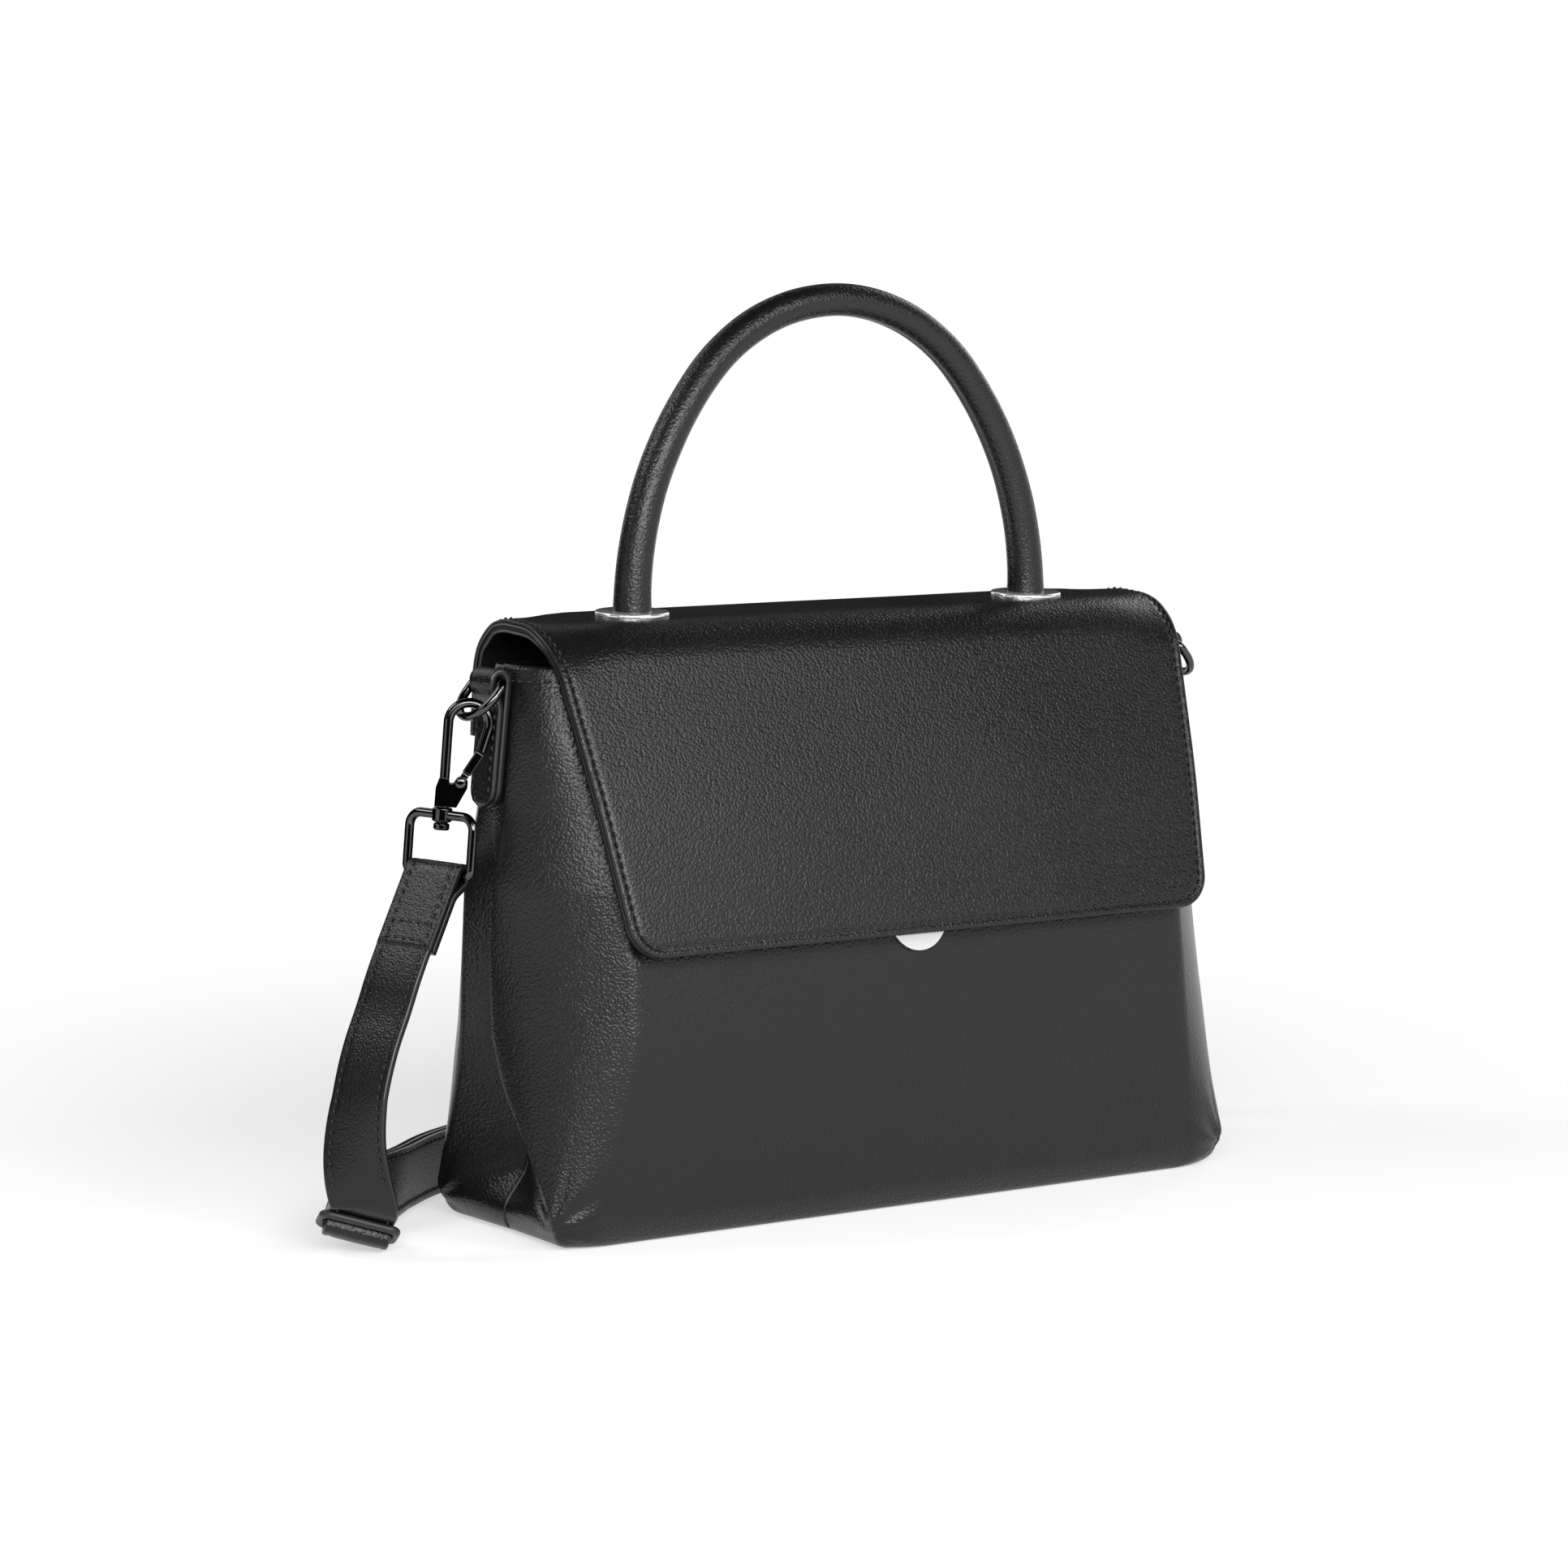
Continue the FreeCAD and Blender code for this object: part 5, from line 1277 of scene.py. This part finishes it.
def panel_depth(height):
    """How far the middle of the back panel stands from the middle plane."""
    return float(np.interp(height, section_heights, [row[-1][1] * HALF_DEPTH for row in BODY_SHARES]))


tail = Build()
tail_face, tail_back = [], []
for index in range(TAIL_STEPS + 1):
    z = lerp(TAIL_TOP, TAIL_FOOT, index / TAIL_STEPS)
    end = z - TAIL_FOOT
    half = TAIL_HALF - corner_cut(TAIL_CORNER, end)
    near = panel_depth(z) + TAIL_GAP
    far = lerp(panel_depth(TAIL_FOOT) + TAIL_OUT, TAIL_TOP_OUT, end / (TAIL_TOP - TAIL_FOOT))
    far -= TAIL_DIP * math.exp(-end / TAIL_DIP_REACH)
    columns = [half * (1 - 2 * i / TAIL_COLUMNS) for i in reversed(range(TAIL_COLUMNS + 1))]
    tail_face.append([Vector((x, far, z)) for x in columns])
    tail_back.append([Vector((x, near, z)) for x in columns])
closed_sheet(tail, tail_face, tail_back, TAIL_BULGE)
sewn_out = lerp(tail_face[TAIL_SEWN_ROW][0].y, tail_face[TAIL_SEWN_ROW + 1][0].y, 0.5)
sewn_half = TAIL_HALF - TAIL_SEWN_INSET
sewn_row = [Vector((x, sewn_out, TAIL_FOOT + TAIL_SEWN_RISE))
            for x in np.linspace(-sewn_half, sewn_half, TAIL_SEWN_STEPS)]
stitch_line(tail, sewn_row, [EY] * len(sewn_row), FLAP_PITCH, THREAD_SLOT)
tail.piece("flap_tail_leather", HIDE_PAINTS, "bag", ("flap_tail",), "leather_black", WELD)

WELT_HIGH, WELT_RADIUS, WELT_SINK, WELT_SIDES, WELT_END_SHARE = 24 * MM, 0.8 * MM, 0.15 * MM, 8, 0.2
for sign, side in SIDES:
    column = 0 if sign > 0 else len(shell_table[0]) // 2
    spots = [row[column] for row in shell_table if WELT_RADIUS < row[column].z < WELT_HIGH]
    welt = Build()
    rows = []
    for index, (spot, way) in enumerate(zip(spots, ways_along(spots))):
        out = EY.cross(way) * sign
        slim = WELT_END_SHARE if index in (0, len(spots) - 1) else 1.0
        rows.append(circle(spot - out * WELT_SINK, out, EY, WELT_RADIUS * slim, WELT_SIDES))
    welt.grid(rows, closed=True)
    made = welt.piece("base_welt_" + side, [edge_paint], "bag", (), "leather_black")
    modify(made, "SUBSURF", levels=1, render_levels=1)


# Lock plate: the CAD shape with its edges eased


MERGE, FLAT_ANGLE, LOCK_EASE, LOCK_ANGLE = 0.001 * MM, 1.5, 0.4 * MM, 32
METAL_EASE, LOOP_EASE, METAL_ANGLE = 0.45 * MM, 0.15 * MM, 38


def bevelled(made, width, segments=3, angle=METAL_ANGLE):
    """Rounds off the edges of a piece that are sharper than an angle in degrees."""
    modify(made, "BEVEL", width=width, segments=segments, limit_method="ANGLE",
           angle_limit=math.radians(angle), harden_normals=True)


def eased(node, body, material, slot):
    """A copy of a metal node with its sharp edges rounded off."""
    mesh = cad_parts[node].data.copy()
    work = bmesh.new()
    work.from_mesh(mesh)
    bmesh.ops.remove_doubles(work, verts=work.verts, dist=MERGE)
    flat = math.radians(FLAT_ANGLE)
    bmesh.ops.dissolve_limit(work, angle_limit=flat, verts=work.verts, edges=work.edges)
    work.to_mesh(mesh)
    work.free()
    mesh.materials.clear()
    mesh.materials.append(material)
    if "custom_normal" in mesh.attributes:
        mesh.attributes.remove(mesh.attributes["custom_normal"])
    for face in mesh.polygons:
        face.use_smooth = True
        face.material_index = 0
    made = bpy.data.objects.new(node + "_eased", mesh)
    scene.collection.objects.link(made)
    bevelled(made, LOCK_EASE, angle=LOCK_ANGLE)
    dress(made, body, (node,), slot)


eased("lock_plate", "bag", chrome, "bright_metal")


# Snap hooks and strap loops: bent round wire, a slotted block, turned posts and barrels

# Origin, way along and way up of each hook and loop
UP_LEFT, UP_RIGHT = Vector((0.08716, 0.0, 0.99619)), Vector((0.07482, -0.40594, 0.91083))
HOOK_FRAMES = {
    "left": (vec(-150.098, 0.0, 172.738), Vector((0.86273, -0.5, -0.07548)), UP_LEFT),
    "right": (vec(148.982, 5.534, 173.949), Vector((-0.64134, -0.71901, -0.26777)), UP_RIGHT),
}
LOOP_FRAMES = {
    "left": (vec(-157.459, 2.675, 141.761), Vector((0.357, -0.93358, -0.03123)), UP_LEFT),
    "right": (vec(150.056, 22.168, 146.69), Vector((-0.34063, 0.84805, 0.40594)), UP_RIGHT),
}
WIRE_SIDES, BEND_STEPS, QUARTER = 18, 24, 90
STEM, HOOK_WIRE = -5.35 * MM, 1.65 * MM
ARCH, ARCH_CENTRE = 6.7 * MM, Vector((1.35 * MM, -0.95 * MM))
NOSE_TURN, NOSE_LENGTH = 14, 7.6 * MM
BLOCK_FOOT, BLOCK_BACK, BLOCK_FRONT, BLOCK_WAIST = -28.8 * MM, -8.2 * MM, 2.3 * MM, -0.9 * MM
BLOCK_HALF, SLOT_HALF, SLOT_LEFT, SLOT_FLOOR = 2.7 * MM, 1.4 * MM, -3.4 * MM, -23.1 * MM
GATE_PIVOT = Vector((-0.1 * MM, -20.6 * MM))
GATE_HALF, GATE_TONGUE, GATE_THICK, GATE_GAP = 1.55 * MM, 0.8 * MM, 1.35 * MM, 0.6 * MM
GATE_NECK, GATE_TAIL, NECK_STEP, WEB_STEP = 3.4 * MM, 1.3 * MM, 0.3 * MM, 1.4 * MM
RIVET, RIVET_RISE = 1.8 * MM, 0.6 * MM
RIVET_SHARES = ((1.0, 0.0), (0.95, 0.5), (0.75, 0.85), (0.4, 1.0), (CENTRE_SHARE, 1.0))
POST, POST_HEAD, HEAD_TOP, HEAD_FOOT = 1.95 * MM, 2.7 * MM, -34.2 * MM, -36.6 * MM
LOOP_HALF, LOOP_LOW, LOOP_WIRE = 13.35 * MM, -19.5 * MM, 1.6 * MM
LOOP_TOP_CORNER, LOOP_FOOT_CORNER = 4.6 * MM, 2.2 * MM
BARREL, BARREL_HALF, BORE, BARREL_EASE = 3.35 * MM, 2.4 * MM, 2.05 * MM, 0.5 * MM


def flat_place(frame_here):
    """Points of a frame's own plane, and a shift square to it."""
    origin, along, up = frame_here
    square = up.cross(along)

    def place(flat, shift=0.0):
        return origin + along * flat.x + up * flat.y + square * shift
    return place, square


def wire(build, spots, radius, square, closed=False):
    """Round wire along a flat path."""
    ways = ways_along(spots)
    if closed:
        ways = ways_along(spots[-1:] + spots + spots[:1])[1:-1]
    rows = [circle(spot, way.cross(square), square, radius, WIRE_SIDES) for spot, way in zip(spots, ways)]
    build.grid(rows + rows[:1] if closed else rows, closed=True)
    if not closed:
        build.add(rows[0], [tuple(reversed(range(WIRE_SIDES)))])
        build.add(rows[-1], [tuple(range(WIRE_SIDES))])


def turned(build, place, square, centre, outline):
    """A round part turned about a frame's upright, from radii and heights."""
    along = (place(Vector((1, 0))) - place(Vector((0, 0)))).normalized()
    build.grid([circle(place(Vector((centre, height))), along, square, radius, 2 * WIRE_SIDES)
                for radius, height in outline], closed=True)


def prism(build, place, outline, low, high):
    """A flat plate of a given outline, between two shifts."""
    count = len(outline)
    points = [place(Vector(p), shift) for shift in (low, high) for p in outline]
    faces = [tuple(reversed(range(count))), tuple(range(count, 2 * count))]
    for index in range(count):
        after = (index + 1) % count
        faces.append((index, after, count + after, count + index))
    build.add(points, faces)


def bend(centre, radius, first, last):
    """Points of an arc between two angles in degrees."""
    angles = [math.radians(lerp(first, last, i / BEND_STEPS)) for i in range(BEND_STEPS + 1)]
    return [centre + Vector((math.cos(a), math.sin(a))) * radius for a in angles]


def hook_wire_path():
    """The stem, the arch and the slanted nose of a hook."""
    path = [Vector((STEM, SLOT_FLOOR)), Vector((STEM, SLOT_FLOOR / 2))]
    path += bend(ARCH_CENTRE, ARCH, 2 * QUARTER, -NOSE_TURN)
    slant = math.radians(NOSE_TURN)
    return path + [path[-1] - Vector((math.sin(slant), math.cos(slant))) * NOSE_LENGTH]


def bar_outline(first, last, half):
    """The outline of a flat bar, square across its ends."""
    way = (last - first).normalized()
    across = Vector((-way.y, way.x)) * half
    return [first + across, first - across, last - across, last + across]


def rivet(build, place, side_shift):
    """A low domed head on the gate's pin."""
    rows = []
    for share, rise_share in RIVET_SHARES:
        shift = side_shift * (BLOCK_HALF + RIVET_RISE * rise_share)
        arms = [Vector((math.cos(a), math.sin(a))) for a in full_turn(WIRE_SIDES)]
        rows.append([place(GATE_PIVOT + arm * RIVET * share, shift) for arm in arms])
    build.grid(rows if side_shift < 0 else list(reversed(rows)), closed=True)


def metal_piece(build, name, body, node, ease, segments=3):
    """A piece of dark metal with its edges eased."""
    made = build.piece(name, [gunmetal], body, (node,), "dark_metal")
    bevelled(made, ease, segments)


def loop_path():
    """A rounded rectangle, with wider bends at its top."""
    top, foot = LOOP_TOP_CORNER, LOOP_FOOT_CORNER
    path = bend(Vector((LOOP_HALF - top, -top)), top, QUARTER, 0)
    path += bend(Vector((LOOP_HALF - foot, LOOP_LOW + foot)), foot, 0, -QUARTER)
    path += bend(Vector((foot - LOOP_HALF, LOOP_LOW + foot)), foot, -QUARTER, -2 * QUARTER)
    return path + bend(Vector((top - LOOP_HALF, -top)), top, 2 * QUARTER, QUARTER)


POST_OUTLINE = [(POST, BLOCK_FOOT), (POST, HEAD_TOP), (POST_HEAD - METAL_EASE, HEAD_TOP),
                (POST_HEAD, HEAD_TOP - METAL_EASE), (POST_HEAD, HEAD_FOOT + METAL_EASE),
                (POST_HEAD - METAL_EASE, HEAD_FOOT), (0.0, HEAD_FOOT)]
BARREL_END = BARREL - BARREL_EASE
BARREL_OUTLINE = [(BORE, -BARREL_HALF), (BARREL_END, -BARREL_HALF), (BARREL, BARREL_EASE - BARREL_HALF),
                  (BARREL, BARREL_HALF - BARREL_EASE), (BARREL_END, BARREL_HALF), (BORE, BARREL_HALF),
                  (BORE, -BARREL_HALF)]
# Corners of the block's upper edge in a hook's own plane, in mm: before the slot's end, then behind it
CROWN_FRONT = [(2.3, -22.2), (2.3, -19.8), (1.3, -18.8), (-0.9, -18.8), (-2.5, -21.0)]
CROWN_BACK = [(-3.6, -21.0), (-3.75, -19.6), (-6.95, -19.0), (-8.1, -22.5)]
crown_front, crown_back = ([Vector(p) * MM for p in points] for points in (CROWN_FRONT, CROWN_BACK))
block_foot = [Vector((BLOCK_BACK, BLOCK_FOOT)), Vector((BLOCK_WAIST, BLOCK_FOOT))]
slot_floor = [Vector((BLOCK_FRONT - WEB_STEP, SLOT_FLOOR)), Vector((SLOT_LEFT, SLOT_FLOOR))]
CHEEK = block_foot + crown_front + crown_back
WEB = block_foot + slot_floor + crown_back
for side in HOOK_FRAMES:
    hook = Build()
    place, square = flat_place(HOOK_FRAMES[side])
    path = hook_wire_path()
    wire(hook, [place(p) for p in path], HOOK_WIRE, square)
    prism(hook, place, CHEEK, -BLOCK_HALF, -SLOT_HALF)
    prism(hook, place, CHEEK, SLOT_HALF, BLOCK_HALF)
    prism(hook, place, WEB, -SLOT_HALF, SLOT_HALF)
    turned(hook, place, square, STEM, POST_OUTLINE)
    for side_shift in (-1, 1):
        rivet(hook, place, side_shift)
    gate = Build()
    nose, way = path[-1], (path[-1] - GATE_PIVOT).normalized()
    clear = GATE_PIVOT + way * GATE_NECK
    tongue = bar_outline(GATE_PIVOT - way * GATE_TAIL, clear, GATE_HALF - NECK_STEP)
    prism(gate, place, tongue, -GATE_TONGUE, GATE_TONGUE)
    prism(gate, place, bar_outline(clear, nose - way * GATE_GAP, GATE_HALF), -GATE_THICK, GATE_THICK)
    metal_piece(gate, "gate_bar_" + side, "gate_" + side, "hook_gate_" + side, METAL_EASE)
    metal_piece(hook, "hook_metal_" + side, "hook_" + side, "hook_body_" + side, METAL_EASE)
    loop = Build()
    place, square = flat_place(LOOP_FRAMES[side])
    wire(loop, [place(p) for p in loop_path()], LOOP_WIRE, square, closed=True)
    turned(loop, place, square, 0.0, BARREL_OUTLINE)
    metal_piece(loop, "loop_metal_" + side, "loop_" + side, "strap_loop_" + side, LOOP_EASE, 2)

SLIDE_HALF, SLIDE_REACH, SLIDE_WIRE, SLIDE_CORNER = 12.2 * MM, 6.95 * MM, 1.45 * MM, 2.6 * MM
slide = Build()
place, square = flat_place((SLIDE_MIDDLE, slide_width, slide_way))
corners = []
for turn, (sx, sy) in enumerate(((1, 1), (1, -1), (-1, -1), (-1, 1))):
    centre = Vector((sx * (SLIDE_HALF - SLIDE_CORNER), sy * (SLIDE_REACH - SLIDE_CORNER)))
    corners += bend(centre, SLIDE_CORNER, QUARTER - QUARTER * turn, -QUARTER * turn)
wire(slide, [place(p) for p in corners], SLIDE_WIRE, square, closed=True)
wire(slide, [place(Vector((x, 0))) for x in (-SLIDE_HALF, 0, SLIDE_HALF)], SLIDE_WIRE, square)
slide.piece("slide_frame", [slide_black], "bag", ("strap_slider",), "slide_black")

# CAD shapes that are kept as they are, by material
KEPT = (
    (board_grey, ("base_board",)),
    (core_plastic, ("handle_core",)),
    (steel, ("lock_magnet", "handle_washers", "handle_screws", "gate_spring_left", "gate_spring_right")),
    (gunmetal, ("d_ring_left", "d_ring_right", "gate_pin_left", "gate_pin_right")),
)
for material, nodes in KEPT:
    for node in nodes:
        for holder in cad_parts[node].material_slots:
            holder.material = material
